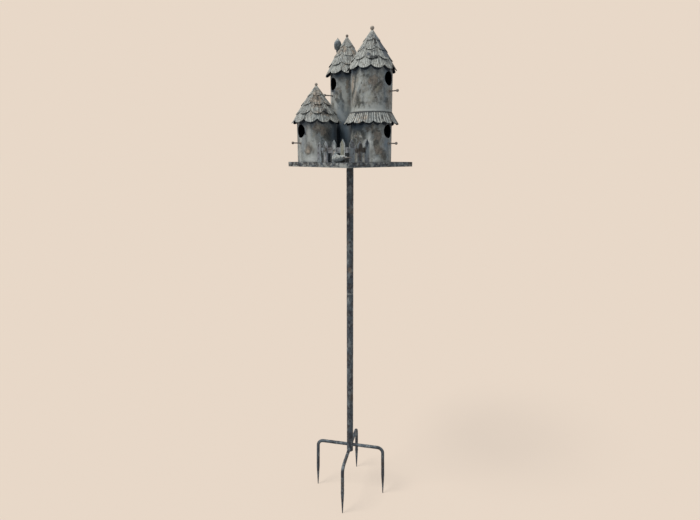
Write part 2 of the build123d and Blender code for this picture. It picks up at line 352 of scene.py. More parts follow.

# %% [markdown]
# ## Worn paint, in parts that every finish shares
# The real tower is painted sheet and casting that was given a worn look: cloudy paint,
# dark soot, rust-brown stains with ragged edges and runs that follow the fall of water.
# The dark in the hollows is painted shade laid the same way. Each of those effects is
# one node group with its own inputs, so that a change to it reaches every finish. Both
# helpers here serve all three groups.

# %% Parts of the groups
FLOAT = "NodeSocketFloat"
VECTOR = "NodeSocketVector"


def new_group(name, inputs, outputs):
    """An empty node group with named sockets; returns it with its input and output sockets."""
    group = bpy.data.node_groups.new(name, "ShaderNodeTree")
    group.interface.new_socket("Vector", in_out="INPUT", socket_type=VECTOR)
    for label, value in inputs.items():
        socket = group.interface.new_socket(label, in_out="INPUT", socket_type=FLOAT)
        socket.default_value = value
    for label in outputs:
        group.interface.new_socket(label, in_out="OUTPUT", socket_type=FLOAT)
    return group, group.nodes.new("NodeGroupInput").outputs, group.nodes.new("NodeGroupOutput").inputs


def noisy(tree, place, scale, detail, roughness):
    """Noise about one half that has a value at every place."""
    sockets = {"Vector": place, "Scale": scale, "Detail": detail, "Roughness": roughness}
    return add(tree, "ShaderNodeTexNoise", sockets).outputs["Fac"]


def soft_edge(tree, value, low, high):
    """0 below low, 1 above high and an even turn between them."""
    sockets = {"Value": value, "From Min": low, "From Max": high}
    return add(tree, "ShaderNodeMapRange", sockets, interpolation_type="SMOOTHSTEP").outputs[0]


print("group sockets:", FLOAT, VECTOR)

# %% [markdown]
# Clouds are what paint does by itself: patches of any size, soft or hard at their edge.
# Squeezing the noise's height draws the patches out into runs, as rain does.

# %% Clouds
CLOUD_SWING = 0.5
CLOUD_LOW = 0.25

inputs = {"Size mm": 30.0, "Fall": 1.0, "Cover": 0.5, "Softness": 0.2, "Detail": 5.0}
group, given, out = new_group("clouds", inputs, ("Mask", "Noise"))
squeeze = calc(group, "DIVIDE", 1.0, given["Fall"])
stretch = add(group, "ShaderNodeCombineXYZ", {0: 1.0, 1: 1.0, 2: squeeze}).outputs[0]
both = {0: given["Vector"], 1: stretch}
place = add(group, "ShaderNodeVectorMath", both, operation="MULTIPLY").outputs[0]
scale = calc(group, "DIVIDE", 1 / MM, given["Size mm"])
cloud = noisy(group, place, scale, given["Detail"], 0.62)
bare = calc(group, "SUBTRACT", 1.0, given["Cover"])
level = calc(group, "MULTIPLY_ADD", bare, CLOUD_SWING, CLOUD_LOW)
half = calc(group, "MULTIPLY", given["Softness"], 0.5)
mask = soft_edge(
    group, cloud, calc(group, "SUBTRACT", level, half), calc(group, "ADD", level, half)
)
group.links.new(mask, out["Mask"])
group.links.new(cloud, out["Noise"])
CLOUDS = group
print("clouds:", len(CLOUDS.nodes), "nodes")

# %% [markdown]
# A painted mark is a smooth oval, and real rust isn't. This group shakes the mark's
# value with noise before it cuts it off, so that the edge comes out torn.

# %% Ragged
TEAR_STRENGTH = 2.6
TEAR_EDGE = (0.28, 0.78)
MARK_ONLY = 6.0

group, given, out = new_group("ragged", {"Mask": 0.0, "Size mm": 8.0, "Tear": 0.7}, ("Mask",))
scale = calc(group, "DIVIDE", 1 / MM, given["Size mm"])
shake = calc(group, "SUBTRACT", noisy(group, given["Vector"], scale, 6.0, 0.65), 0.5)
torn = calc(group, "MULTIPLY", calc(group, "MULTIPLY", shake, given["Tear"]), TEAR_STRENGTH)
stain = soft_edge(group, calc(group, "ADD", given["Mask"], torn), *TEAR_EDGE)
near_mark = calc(group, "MULTIPLY", given["Mask"], MARK_ONLY, clamp=True)
group.links.new(calc(group, "MULTIPLY", stain, near_mark), out["Mask"])
RAGGED = group
print("ragged:", len(RAGGED.nodes), "nodes")

# %% [markdown]
# Old paint is never quite even to the touch. Two sizes of noise make that: together
# they are the height for the bump, and the finer one alone is a speckle for the colour.

# %% Grain
COARSE_SHARE = 0.22
COARSE_HEIGHT = 1.6
SPECKLE_EDGE = (0.36, 0.66)

group, given, out = new_group("grain", {"Size mm": 2.5}, ("Height", "Speckle"))
scale = calc(group, "DIVIDE", 1 / MM, given["Size mm"])
fine = noisy(group, given["Vector"], scale, 4.0, 0.7)
coarse = noisy(group, given["Vector"], calc(group, "MULTIPLY", scale, COARSE_SHARE), 3.0, 0.5)
group.links.new(calc(group, "MULTIPLY_ADD", coarse, COARSE_HEIGHT, fine), out["Height"])
group.links.new(soft_edge(group, fine, *SPECKLE_EDGE), out["Speckle"])
GRAIN = group
print("grain:", len(GRAIN.nodes), "nodes")

# %% [markdown]
# ## Finishes
# All the paints are greys with a little blue or green in them, cream where they are
# chalky, brown where the rust shows and almost black in the hollows, partly as patina
# and partly as painted shade. Steel blue, storm and shade are painted shade as well.
# Each has its name here once, as the shader takes it.

# %% Paints
BLUE_GREY = (0.262, 0.296, 0.303)
MID_GREY = (0.200, 0.207, 0.196)
FLUTE_GREY = (0.265, 0.272, 0.252)
BEIGE_GREY = (0.335, 0.294, 0.226)
WARM_GREY = (0.225, 0.205, 0.185)
LAVENDER = (0.242, 0.234, 0.244)
STEEL = (0.168, 0.194, 0.210)
STEEL_BLUE = (0.200, 0.262, 0.318)
SLATE = (0.098, 0.118, 0.134)
STORM = (0.064, 0.080, 0.100)
SHADE = (0.056, 0.084, 0.112)
IRON = (0.034, 0.041, 0.054)
GROOVE = (0.034, 0.038, 0.040)
TEAL = (0.052, 0.070, 0.076)
COAL = (0.012, 0.017, 0.022)
SOOT_AND_SHADE = (0.006, 0.015, 0.030)
BLACK = (0.006, 0.014, 0.034)
MURK = (0.022, 0.024, 0.020)
BARK = (0.040, 0.033, 0.026)
UMBER = (0.080, 0.061, 0.043)
TURNED_BROWN = (0.165, 0.122, 0.098)
RUST = (0.245, 0.192, 0.143)
KHAKI = (0.300, 0.290, 0.215)
TAUPE = (0.420, 0.375, 0.320)
PEACH = (0.500, 0.400, 0.300)
CHALK = (0.480, 0.488, 0.450)
CREAM = (0.568, 0.566, 0.505)
BLEACHED = (0.700, 0.700, 0.650)
print("palest paint:", BLEACHED)

# %% [markdown]
# A worn finish is built up like the real one, coat by coat: a ground colour, then each
# paint where its mask says and as thick as its share. One small class keeps a
# material's tree and the colour so far, so that a finish below is a list of its coats.

# %% Finish


class Finish:
    """A material under way: each coat covers the colour below it where its mask is 1."""

    def __init__(self, name, ground=None):
        self.material = bpy.data.materials.new(name)
        self.material.use_nodes = True
        self.tree = self.material.node_tree
        self.place = self.tree.nodes.new("ShaderNodeTexCoord").outputs["Object"]
        self.colour = ground

    def effect(self, group, **sockets):
        """Places an effect group; underscores in the names stand for spaces."""
        made = add(self.tree, "ShaderNodeGroup", node_tree=group)
        sockets["Vector"] = self.place
        for key, value in sockets.items():
            set_socket(self.tree, made.inputs[key.replace("_", " ")], value)
        return made.outputs

    def cloud(self, size, fall, cover, softness, detail=5.0, output="Mask"):
        """Cloudy patches of this size in millimetres."""
        return self.effect(
            CLOUDS, Size_mm=size, Fall=fall, Cover=cover, Softness=softness, Detail=detail
        )[output]

    def stain(self, kind, size, tear):
        """The marks of one kind that the mesh carries, with a torn edge."""
        return self.effect(RAGGED, Mask=self.painted(kind), Size_mm=size, Tear=tear)["Mask"]

    def painted(self, kind):
        """The plain value that the mesh carries."""
        return painted(self.tree, kind)

    def times(self, first, second):
        """Two masks, or a mask and a share, multiplied."""
        return calc(self.tree, "MULTIPLY", first, second)

    def coat(self, paint, mask, share=1.0):
        """Lays a paint over what is there."""
        self.colour = mix(self.tree, self.times(mask, share), self.colour, paint)

    def done(self, grain, rough, bump_mm, metallic=0.0, gloss=0.35, rough_where=None):
        """Sets the shader: its constants sit on its own sockets."""
        where = grain["Speckle"] if rough_where is None else rough_where
        spread = {"Value": where, "To Min": rough[0], "To Max": rough[1]}
        bump = {"Height": grain["Height"], "Distance": bump_mm * MM, "Strength": 1.0}
        shader = self.tree.nodes["Principled BSDF"]
        for socket, value in (
            ("Base Color", self.colour),
            ("Roughness", add(self.tree, "ShaderNodeMapRange", spread).outputs[0]),
            ("Normal", add(self.tree, "ShaderNodeBump", bump).outputs[0]),
            ("Metallic", metallic),
            ("Specular IOR Level", gloss),
        ):
            set_socket(self.tree, shader.inputs[socket], value)
        print(self.material.name, len(self.tree.nodes), "nodes")
        return self.material


# %% [markdown]
# ### Drums
# The drums have cloudy paint: pale runs where the rain washed it chalky, small blotches
# of dark green-grey, and brown where the sheet shows through. Layers of noise of
# several sizes give that without a picture. Over them lie the stains of the mesh: chalk,
# rust with a dark rim and peach in its middle, bark-brown dirt and black-green murk.
# Last comes painted shade: a blue tint and a dark shade, both soft, and then the
# darkest paint, soot and painted shadow under the eaves, round the entries and in gaps.

# %% Paint of the drums
paint = Finish("house_sheet", BLUE_GREY)
paint.coat(MID_GREY, paint.cloud(40.0, 1.4, 0.5, 0.26))
paint.coat(BEIGE_GREY, paint.cloud(30.0, 1.6, 0.42, 0.20, 7.0), 0.62)
paint.coat(CHALK, paint.cloud(9.0, 2.4, 0.48, 0.10, 9.0), 0.60)
paint.coat(TEAL, paint.cloud(12.0, 1.4, 0.37, 0.09, 9.0), 0.60)
paint.coat(UMBER, paint.cloud(6.0, 1.7, 0.36, 0.08, 6.0), 0.38)
paint.coat(RUST, paint.cloud(26.0, 1.2, 0.34, 0.22, 8.0), 0.55)
chalk = paint.stain("chalk", 11.0, 0.55)
paint.coat(CHALK, chalk, 0.80)
paint.coat(BLEACHED, chalk, calc(paint.tree, "SUBTRACT", paint.painted("chalk"), 0.9, clamp=True))
rust = paint.stain("rust", 11.0, 0.75)
bare = mix(paint.tree, paint.cloud(9.0, 1.3, 0.58, 0.25, 7.0), UMBER, RUST)
paint.coat(bare, rust, 0.85)
paint.coat(PEACH, paint.stain("peach", 8.0, 0.60), 0.65)
rim = paint.times(rust, calc(paint.tree, "SUBTRACT", 1.0, rust))
paint.coat(UMBER, rim, 1.6)
dirt = paint.times(paint.painted("dirt"), 0.9)
paint.coat(BARK, paint.cloud(17.0, 1.2, 0.46, 0.12, 9.0), dirt)
paint.coat(KHAKI, paint.cloud(13.0, 1.4, 0.38, 0.10, 9.0), dirt)
paint.coat(MURK, paint.stain("murk", 6.0, 0.85), 0.84)
grain = paint.effect(GRAIN, Size_mm=3.0)
paint.coat(CHALK, grain["Speckle"], 0.24)
# Painted shade: the blue tint and the shade for shaded places, then soot and painted shadow.
paint.coat(STEEL_BLUE, paint.painted("blue_shade"), 0.80)
paint.coat(SHADE, paint.painted("shade"), 0.85)
paint.coat(SOOT_AND_SHADE, paint.stain("soot_and_shade", 7.0, 0.45), 0.90)
HOUSE_SHEET = paint.done(grain, (0.62, 0.86), 0.35)

# %% [markdown]
# ### Shingles
# The roofs are the palest part. Their colour follows the pressed flutes: cream on the
# ridges and almost black in the grooves, as when dark paint is rubbed over the metal and
# wiped off again. A ramp over the flute's height does that wiping.

# %% Paint of the shingles
WIPED = ((0.08, GROOVE), (0.38, FLUTE_GREY), (0.92, CREAM))

paint = Finish("shingle_sheet")
relief = paint.painted("relief")
uneven = paint.cloud(7.0, 3.0, 0.5, 0.35, 7.0, output="Noise")
lift = calc(paint.tree, "MULTIPLY_ADD", uneven, 0.60, -0.275)
wiped = add(paint.tree, "ShaderNodeValToRGB", {"Fac": calc(paint.tree, "ADD", relief, lift)})
stops = wiped.color_ramp.elements
stops.new(0.5)
for stop, (position, colour) in zip(stops, WIPED):
    stop.position = position
    stop.color = (*colour, 1)
paint.colour = wiped.outputs[0]
paint.coat(BLUE_GREY, paint.cloud(34.0, 1.0, 0.45, 0.30), 0.35)
paint.coat(CREAM, paint.painted("chalk"), paint.times(relief, 0.9))
peach = mix(paint.tree, paint.cloud(9.0, 1.6, 0.52, 0.10, 7.0), RUST, PEACH)
brown = mix(paint.tree, paint.times(relief, 1.4), UMBER, peach)
paint.coat(brown, paint.stain("rust", 10.0, 0.90), 0.80)
paint.coat(UMBER, paint.cloud(5.0, 3.2, 0.38, 0.08, 6.0), 0.62)
paint.coat(TEAL, paint.cloud(9.0, 2.6, 0.36, 0.12, 6.0), 0.42)
# Soot and painted shadow, then storm blue: mostly painted shade on a roof's side away from the sun.
paint.coat(COAL, paint.stain("soot_and_shade", 7.0, 0.65), 0.92)
paint.coat(STORM, paint.stain("slate_and_shade", 9.0, 0.45), 0.85)
SHINGLE_SHEET = paint.done(paint.effect(GRAIN, Size_mm=2.2), (0.60, 0.85), 0.30)

# %% [markdown]
# ### Iron
# The pole and the prongs are blue-black iron with a grey bloom, which is also what
# makes it duller. Where the tubes meet and where they were scratched, marks of the mesh
# show rust and rubbed, pale paint.

# %% Paint of the iron
paint = Finish("dark_iron", IRON)
bloom = paint.cloud(22.0, 1.5, 0.50, 0.12, 7.0)
paint.coat(SLATE, bloom)
paint.coat(BLUE_GREY, paint.cloud(15.0, 1.7, 0.39, 0.12, 7.0), 0.56)
paint.coat(UMBER, paint.cloud(30.0, 1.6, 0.32, 0.16, 6.0), 0.55)
paint.coat(RUST, paint.stain("rust", 9.0, 0.5), 0.50)
paint.coat(CHALK, paint.stain("chalk", 7.0, 0.5), 0.40)
grain = paint.effect(GRAIN, Size_mm=2.6)
DARK_IRON = paint.done(grain, (0.48, 0.78), 0.45, metallic=0.25, rough_where=bloom)

# %% [markdown]
# ### Tray
# The tray is the same iron under cream patches, which lie along its rim. Their noise is
# wider than high, because a rim is a narrow band, and a pale line runs along the fold.

# %% Paint of the tray
paint = Finish("platform_sheet", IRON)
bloom = paint.cloud(20.0, 0.8, 0.50, 0.2, 7.0)
paint.coat(SLATE, bloom)
paint.coat(CHALK, paint.cloud(19.0, 0.6, 0.44, 0.18, 8.0), 0.66)
paint.coat(BARK, paint.cloud(24.0, 0.6, 0.42, 0.16, 7.0), 0.7)
paint.coat(CHALK, paint.stain("chalk", 9.0, 0.8), 0.8)
paint.coat(SOOT_AND_SHADE, paint.stain("soot_and_shade", 14.0, 0.6), 0.7)
grain = paint.effect(GRAIN, Size_mm=2.6)
PLATFORM_SHEET = paint.done(grain, (0.52, 0.8), 0.4, metallic=0.15, rough_where=bloom)

# %% [markdown]
# ### Turned trim
# Finials and perches are small and brown-grey, as bare steel is after some wet weeks.
# Two coats are enough, because a ball shows only a few patches. The mesh says how taupe
# each ball is.

# %% Paint of the turned trim
paint = Finish("turned_rust", TURNED_BROWN)
paint.coat(WARM_GREY, paint.cloud(7.0, 1.0, 0.5, 0.25))
paint.coat(CHALK, paint.cloud(4.0, 1.0, 0.35, 0.2), 0.6)
paint.coat(TAUPE, paint.painted("chalk"))
TURNED_RUST = paint.done(paint.effect(GRAIN, Size_mm=1.6), (0.5, 0.75), 0.2, metallic=0.2)

# %% [markdown]
# ### Fence
# The pickets are lavender and blue-grey. Khaki, rust and bark-brown wear differ from
# picket to picket, so they come from marks, and chalk picks out the pressed border.

# %% Paint of the fence
paint = Finish("fence_sheet", LAVENDER)
paint.coat(BLUE_GREY, paint.cloud(18.0, 1.5, 0.5, 0.3))
paint.coat(KHAKI, paint.stain("dirt", 8.0, 0.5), 0.85)
bare = mix(paint.tree, paint.cloud(9.0, 1.0, 0.36, 0.2, 7.0), BARK, RUST)
paint.coat(bare, paint.stain("rust", 8.0, 0.6), 0.85)
paint.coat(CHALK, paint.stain("chalk", 5.0, 0.5), 0.7)
paint.coat(BARK, paint.cloud(8.0, 1.2, 0.38, 0.12, 8.0), 0.6)
paint.coat(BARK, paint.stain("bark", 8.0, 0.6), 0.9)
# Soot and painted shade: the darker gaps and the picket that stands in shade.
paint.coat(SOOT_AND_SHADE, paint.stain("soot_and_shade", 6.0, 0.4), 0.9)
FENCE_SHEET = paint.done(paint.effect(GRAIN, Size_mm=2.2), (0.6, 0.85), 0.3)

# %% [markdown]
# ### Birds
# The birds are cast, so dark wash stays in their hollows and chalk on their backs. The
# torn edge of the chalk and a finer dark cloud over it read as feathers.

# %% Paint of the birds
paint = Finish("bird_paint", STEEL)
paint.coat(BLUE_GREY, paint.cloud(7.0, 1.0, 0.5, 0.12, 8.0))
paint.coat(CREAM, paint.stain("chalk", 6.0, 0.9), 0.80)
paint.coat(MURK, paint.cloud(6.0, 0.8, 0.42, 0.08, 7.0), 0.48)
paint.coat(RUST, paint.stain("rust", 5.0, 0.4), 0.7)
paint.coat(SOOT_AND_SHADE, paint.stain("soot_and_shade", 5.0, 0.3), 0.9)
BIRD_PAINT = paint.done(paint.effect(GRAIN, Size_mm=2.0), (0.55, 0.8), 0.3)

# %% [markdown]
# ### Inside
# The insides of the houses and the undersides of the roofs are near black, painted shade,
# so an entry looks like a deep hole from every side.

# %% Paint of the inside
paint = Finish("dark_inside", BLACK)
paint.coat(SOOT_AND_SHADE, paint.cloud(20.0, 1.0, 0.5, 0.3))
DARK_INSIDE = paint.done(paint.effect(GRAIN, Size_mm=3.0), (0.8, 0.95), 0.3, gloss=0.1)

# %% [markdown]
# ## Where the shingle rows lie
# The rows follow the CAD model's own rule: each row's lower edge is a share of the
# roof's height and rim, and its top tucks under the row above with a small gap. The
# skirt round the right tower is one more row, with small scallops. The drums need the
# rule as well, because a drum ends where its roof begins.

# %% Rows
ROW_HEIGHTS = (0.28, 0.53, 0.77, 1.0)
ROW_RADII = (0.36, 0.615, 0.84, 1.0)
SHINGLE_DEPTH = 12.0
SHINGLE_TUCK = 17.0
CAP_R = 4.0
SKIRT_ROW = (HOUSES["right"]["r"] + GAP + SHEET, STOREY, 91.5, 121.0, 16, 15.9, 8.0)


def roof_rows(house):
    """Top radius, top, low radius, low, count, turn and depth of the scallops of each row."""
    sizes = HOUSES[house]
    above = (CAP_R, sizes["apex"], CAP_R, sizes["apex"])
    rows = []
    for row, count in enumerate(sizes["counts"]):
        low_r = sizes["rim_r"] * ROW_RADII[row]
        low = sizes["apex"] - (sizes["apex"] - sizes["rim"]) * ROW_HEIGHTS[row]
        top_r, top = CAP_R, sizes["apex"]
        if row > 0:
            flare = (above[2] - above[0]) / (above[1] - above[3])
            under_r = above[2] - (SHEET + GAP) * sqrt(1 + flare**2)
            own_flare = (low_r - under_r) / (above[3] - low)
            top = above[3] + SHINGLE_TUCK
            top_r = under_r - SHINGLE_TUCK * max(flare, own_flare)
        above = (top_r, top, low_r, low)
        rows.append((*above, count, sizes["turns"][row], SHINGLE_DEPTH))
    return rows


def wall_top(house):
    """Height at which a drum meets the underside of its roof's lowest row."""
    top_r, top, low_r, low = roof_rows(house)[-1][:4]
    flare = (low_r - top_r) / (top - low)
    return low + (low_r - (SHEET + GAP) * sqrt(1 + flare**2) - HOUSES[house]["r"]) / flare


print("drums end at", {house: round(wall_top(house), 1) for house in HOUSES})

# %% [markdown]
# A row's lower edge swings between grooves and tips. A power of the place across the
# shingle gives that curve: 2 would be a plain arc, and a little more is blunter.

# %% Scallops
BLUNT = 2.3


def across_shingle(angle, count, turn):
    """Place across a shingle, from -1 at one groove to 1 at the next."""
    return ((angle - turn) / (360 / count) + 0.5) % 1.0 * 2 - 1


def scallop(angle, count, turn, depth):
    """How far a row's lower edge rises above the tip of its shingle."""
    return depth * abs(across_shingle(angle, count, turn)) ** BLUNT


print("halfway to a groove the edge rises", round(scallop(2.5, 36, 0, SHINGLE_DEPTH), 2), "mm")

# %% [markdown]
# ## Shingles
# A row is one conical sheet, pressed with irregular flutes like split wood, with a deep
# groove between shingles and a lower edge cut in scallops. It could be a plain cone with
# a bump map, but the flutes show at the edge and cast small shadows, so they are real.
# One flat grid is bent round the cone, and its columns run down the flutes. No two
# flutes of split wood are alike, so each gets a width, a strength and a notch by chance.

# %% Flutes
FLUTE_COLUMNS = (0.0, 0.25, 1.0, 0.6)
FLUTE_WIDTHS = (0.65, 1.35)
FLUTE_STRENGTHS = (0.40, 1.15)
FLUTE_NOTCHES = (-0.7, 0.9)
ROW_STEPS = (0.0, 0.12, 0.24, 0.36, 0.48, 0.60, 0.72, 0.82, 0.90, 0.96, 1.0)


def flute_columns(count, turn, flutes, seed):
    """Angle, height on the flute from 0 to 1, strength and notch of each column of a row."""
    chance = random.Random(seed)
    columns = []
    for shingle in range(count):
        widths = [chance.uniform(*FLUTE_WIDTHS) for _ in range(flutes)]
        total = sum(widths)
        start = turn + (shingle - 0.5) * 360 / count
        done = 0.0
        for width in widths:
            strength = chance.uniform(*FLUTE_STRENGTHS)
            notch = chance.uniform(*FLUTE_NOTCHES)
            for part, height in enumerate(FLUTE_COLUMNS):
                share = (done + width * part / len(FLUTE_COLUMNS)) / total
                columns.append((start + share * 360 / count, height, strength, notch))
            done += width
    return columns


def row_grid(bm, columns):
    """A flat grid; gives each of its points with its column and its share of the way down."""
    steps = len(ROW_STEPS) - 1
    bmesh.ops.create_grid(bm, x_segments=len(columns), y_segments=steps, size=0.5)
    for vert in bm.verts:
        number = round((vert.co.x + 0.5) * len(columns)) % len(columns)
        yield vert, columns[number], ROW_STEPS[steps - round((vert.co.y + 0.5) * steps)]


print("columns of a row of five:", len(flute_columns(5, 0, 7, 0)))

# %% [markdown]
# The form of a shingle is a sum of small swells over the cone: the flutes, the groove
# at its sides, a crown across its middle and a curl at its lower edge. All of them are
# pressed flat where the row above covers it. The paint needs the same values: how high
# each point stands on its flute, and how dark the painted shadow under the row above is.

# %% Shingle row
FLUTE_MM = 1.0
FLUTE_MIDDLE = 0.45
GROOVE_MM = 1.3
GROOVE_WIDTH = 1.6
GROOVE_AT_TOP = 0.35
CROWN_MM = 1.0
CURL_MM = 0.8
DRAWN_IN_MM = 1.0
NOTCH_MM = 0.8
LIFTS_MM = (-0.5, 0.7)
COVERED = (1.0, 5.0)
CAP_FADE = (5.0, 11.0)
SHADOW_LINE = 2.6
LINE_PATCH = 12
LINE_DARKEST = 0.7
RUST_SCALE = 22
SHINGLE_SHARP = radians(70)


def shingle_row(name, node, house, row, above, flutes, seed, marks, rust, chalk):
    """One pressed ring of shingles; `above` is the row that covers its top."""
    top_r, top, low_r, low, count, turn, depth = row
    flare = (low_r - top_r) / (top - low)
    slope = sqrt(1 + flare**2)
    chance = random.Random(seed + 1)
    lifts = [chance.uniform(*LIFTS_MM) for _ in range(count)]
    line_share = 0.4 if top > HOUSES[house]["faint_above"] else 1.0
    bm = bmesh.new()
    layers = paint_layers(bm, "relief", "rust", "soot_and_shade", "chalk", "slate_and_shade")
    for vert, column, down in row_grid(bm, flute_columns(count, turn, flutes, seed)):
        angle, height, strength, notch = column
        across = across_shingle(angle, count, turn)
        edge = low + scallop(angle, count, turn, depth) + notch * NOTCH_MM * height
        z = top - (top - edge) * down
        covered = line = 0.0
        if above:
            above_edge = above[3] + scallop(angle, *above[4:])
            covered = smooth_step(z, above_edge + COVERED[0], above_edge + COVERED[1])
            line = bell(max(above_edge - z, 0.0), SHADOW_LINE)
        below_cap = smooth_step(top_r + flare * (top - z), *CAP_FADE)
        to_groove = (1 - abs(across)) * (low_r * pi / count)
        groove = bell(to_groove, GROOVE_WIDTH) * (GROOVE_AT_TOP + (1 - GROOVE_AT_TOP) * down)
        relief = height * strength * (1 - groove)
        own_lift = lifts[int(((angle - turn) / 360 * count + 0.5) % count)]
        out = (relief - FLUTE_MIDDLE) * FLUTE_MM * below_cap - groove * GROOVE_MM
        out += (1 - across**2) * CROWN_MM * down**2 + own_lift * down**3
        out += CURL_MM * down**6 - DRAWN_IN_MM * down
        out *= 1 - covered
        reach = top_r + flare * (top - z) + out / slope
        vert.co = about(house, z + out * flare / slope, radians(angle), reach) * MM
        stand = (relief * 0.9 + 0.1) * (1 - groove)
        vert[layers["relief"]] = min(max(stand, (1 - below_cap) * 0.8), 1.0)
        broken = 0.34 + 1.9 * noise.noise(vert.co / MM / LINE_PATCH + Vector((0, seed, 0)))
        line *= min(max(broken, 0.0), LINE_DARKEST) * line_share
        # Painted shadow: a broken dark line under the row above, and the covered part darker.
        vert[layers["soot_and_shade"]] = min(line + covered * 0.5, 1.0)
        bare = noise.noise(vert.co * RUST_SCALE + Vector((seed, 0, 0)))
        vert[layers["rust"]] = rust + 0.35 * smooth_step(bare, 0.05, 0.45)
        vert[layers["chalk"]] = chalk
        stain_point(vert, layers, marks, angle, z, full_turn=360)
    weld(bm)
    thicken(bm, SHEET * MM)
    finish_piece(name, bm, [SHINGLE_SHEET, DARK_INSIDE], node, sharp=SHINGLE_SHARP)


# %% [markdown]
# Twelve rows make the three roofs. The marks are the stains and the dark ends of the
# eaves that stand out in the photograph: each has an angle round the roof, a height, a
# half width in degrees, a half height and a strength. The dark ends of the eaves are
# painted shade, and so is most of the slate, on the side of a roof away from the sun.
# The right roof has no rust at its tip, and the left one no chalk but that of its marks.

# %% Roofs
ROOF_MARKS = {
    "left": {
        "rust": (
            (-42, 212, 30, 24, 0.56), (-34, 182, 22, 14, 0.45), (-18, 156, 16, 14, 0.5),
            (-118, 200, 34, 60, -0.5),
        ),
        "soot_and_shade": (
            (-14, 160, 13, 10, 0.6), (-52, 212, 4, 16, 0.6), (-40, 224, 4, 10, 0.6),
            (-30, 204, 4, 14, 0.6), (-62, 188, 3, 9, 0.5), (-44, 178, 3, 8, 0.5),
            (-22, 178, 10, 8, 0.4), (-16, 157, 9, 8, 0.25), (-33, 213, 9, 7, 0.35),
            (-9, 167, 7, 7, 0.5), (-128, 128, 8, 10, 1.1), (50, 128, 10, 10, 1.1), (8, 190, 8, 20, 0.4),
        ),
        "chalk": (
            (-48, 160, 8, 6, 0.9), (-30, 172, 7, 6, 0.7), (-58, 172, 12, 10, 0.8),
            (-70, 153, 8, 5, 0.9), (-52, 218, 44, 24, 0.7), (2, 140, 8, 8, 0.8), (-44, 186, 10, 5, 0.8),
            (-58, 140, 26, 14, 0.6), (-110, 200, 30, 60, 0.4),
        ),
        "slate_and_shade": ((-51, 180, 4, 5, 0.8),),
    },
    "right": {
        # Mostly painted shade on the side of the roof away from the sun.
        "slate_and_shade": (
            (16, 344, 20, 15, 1.7), (28, 360, 20, 13, 1.5), (8, 330, 12, 10, 1.5),
            (-8, 386, 14, 12, 0.9), (-50, 390, 12, 10, 0.7), (46, 310, 10, 26, 0.9),
            (4, 358, 11, 13, 1.1), (-84, 352, 10, 8, 0.6), (-56, 328, 7, 7, 0.8),
        ),
        "soot_and_shade": (
            (-27, 376, 9, 5, 1.1), (-20, 367, 8, 5, 0.7), (-52, 327, 9, 7, 0.8), (-34, 319, 7, 5, 0.9),
            (-38, 338, 12, 4, 0.7), (30, 287, 19, 12, 1.9), (44, 296, 12, 18, 1.4),
            (-128, 290, 13, 12, 1.7), (-57, 382, 4, 13, 0.7), (-44, 378, 4, 12, 0.7),
            (-76, 378, 4, 11, 0.6), (-34, 356, 4, 11, 0.7), (-64, 352, 3, 11, 0.6),
            (-44, 316, 9, 5, 0.75), (-30, 315, 5, 4, 0.6), (-27, 366, 7, 4, 0.5), (-96, 352, 7, 3, 0.8),
        ),
        "chalk": (
            (-24, 295, 14, 10, 0.6), (-80, 316, 26, 26, 0.4), (-60, 296, 10, 8, 0.6),
            (-40, 292, 50, 14, 0.3),
        ),
    },
    "rear": {
        "rust": ((-10, 356, 26, 26, 0.36), (-57, 378, 14, 12, 0.55)),
        "soot_and_shade": ((6, 345, 7, 14, 0.6), (-132, 295, 9, 12, 1.2), (-38, 306, 5, 7, 1.0)),
        "chalk": ((-70, 312, 22, 16, 0.6),),
        "slate_and_shade": ((30, 388, 16, 16, 0.8),),
    },
}
FLUTES_PER_SHINGLE = (7, 8, 8, 8)
ROW_RUST = {
    "left": (0.30, 0.24, 0.14, 0.0), "right": (0.0, 0.24, 0.14, 0.0), "rear": (0.30, 0.24, 0.14, 0.0),
}
ROW_CHALK = {"left": (0.0,) * 4, "right": (0.4, 0.4, 0.4, 0.6), "rear": (0.4, 0.4, 0.4, 0.6)}

for seed, house in enumerate(HOUSES):
    above = None
    for number, row in enumerate(roof_rows(house)):
        shingle_row(
            f"{house}_shingles_{number + 1}", f"{house}_roof_row_{number + 1}", house, row, above,
            flutes=FLUTES_PER_SHINGLE[number], seed=seed * 10 + number, marks=ROOF_MARKS[house],
            rust=ROW_RUST[house][number], chalk=ROW_CHALK[house][number],
        )
        above = row

# %% [markdown]
# The skirt is the same kind of row with narrow shingles of four flutes. Its marks are
# mostly single dark grooves, and painted shade in the corner under the upper wall and
# at the skirt's two ends.

# %% Skirt
SKIRT_MARKS = {
    "soot_and_shade": (
        (-45, 158, 150, 3.2, 1.6), (-76, 126, 3, 8, 0.6), (-28, 134, 2, 16, 0.7),
        (-112, 140, 2, 16, 0.6), (-48, 138, 2, 18, 0.6), (-62, 140, 1.5, 12, 0.7),
        (-20, 140, 2, 14, 0.7), (-36, 136, 1.5, 16, 0.7), (-88, 144, 2, 12, 0.6),
        (-102, 134, 2, 12, 0.6), (0, 130, 6, 12, 0.5), (42, 124, 16, 12, 1.5), (-134, 124, 8, 9, 1.0),
        (-78, 152, 16, 5, 0.6),
    ),
    "rust": ((-84, 140, 10, 14, 0.4), (-62, 134, 12, 14, 0.1)),
}
shingle_row(
    "skirt_shingles", "right_skirt", "right", SKIRT_ROW, None,
    flutes=4, seed=77, marks=SKIRT_MARKS, rust=0.12, chalk=0.0,
)

# %% [markdown]
# ## The drums
# Each house is a sheet rolled into a drum, with its seam under the entry hole and the
# hole's edge turned in. A cylinder with a hole cut by a Boolean would shade badly round
# the hole, so the sheet is made flat, as in the workshop: a grid, a window cleared of
# its cells, the window's border drawn in to a circle, and then the whole is rolled up.

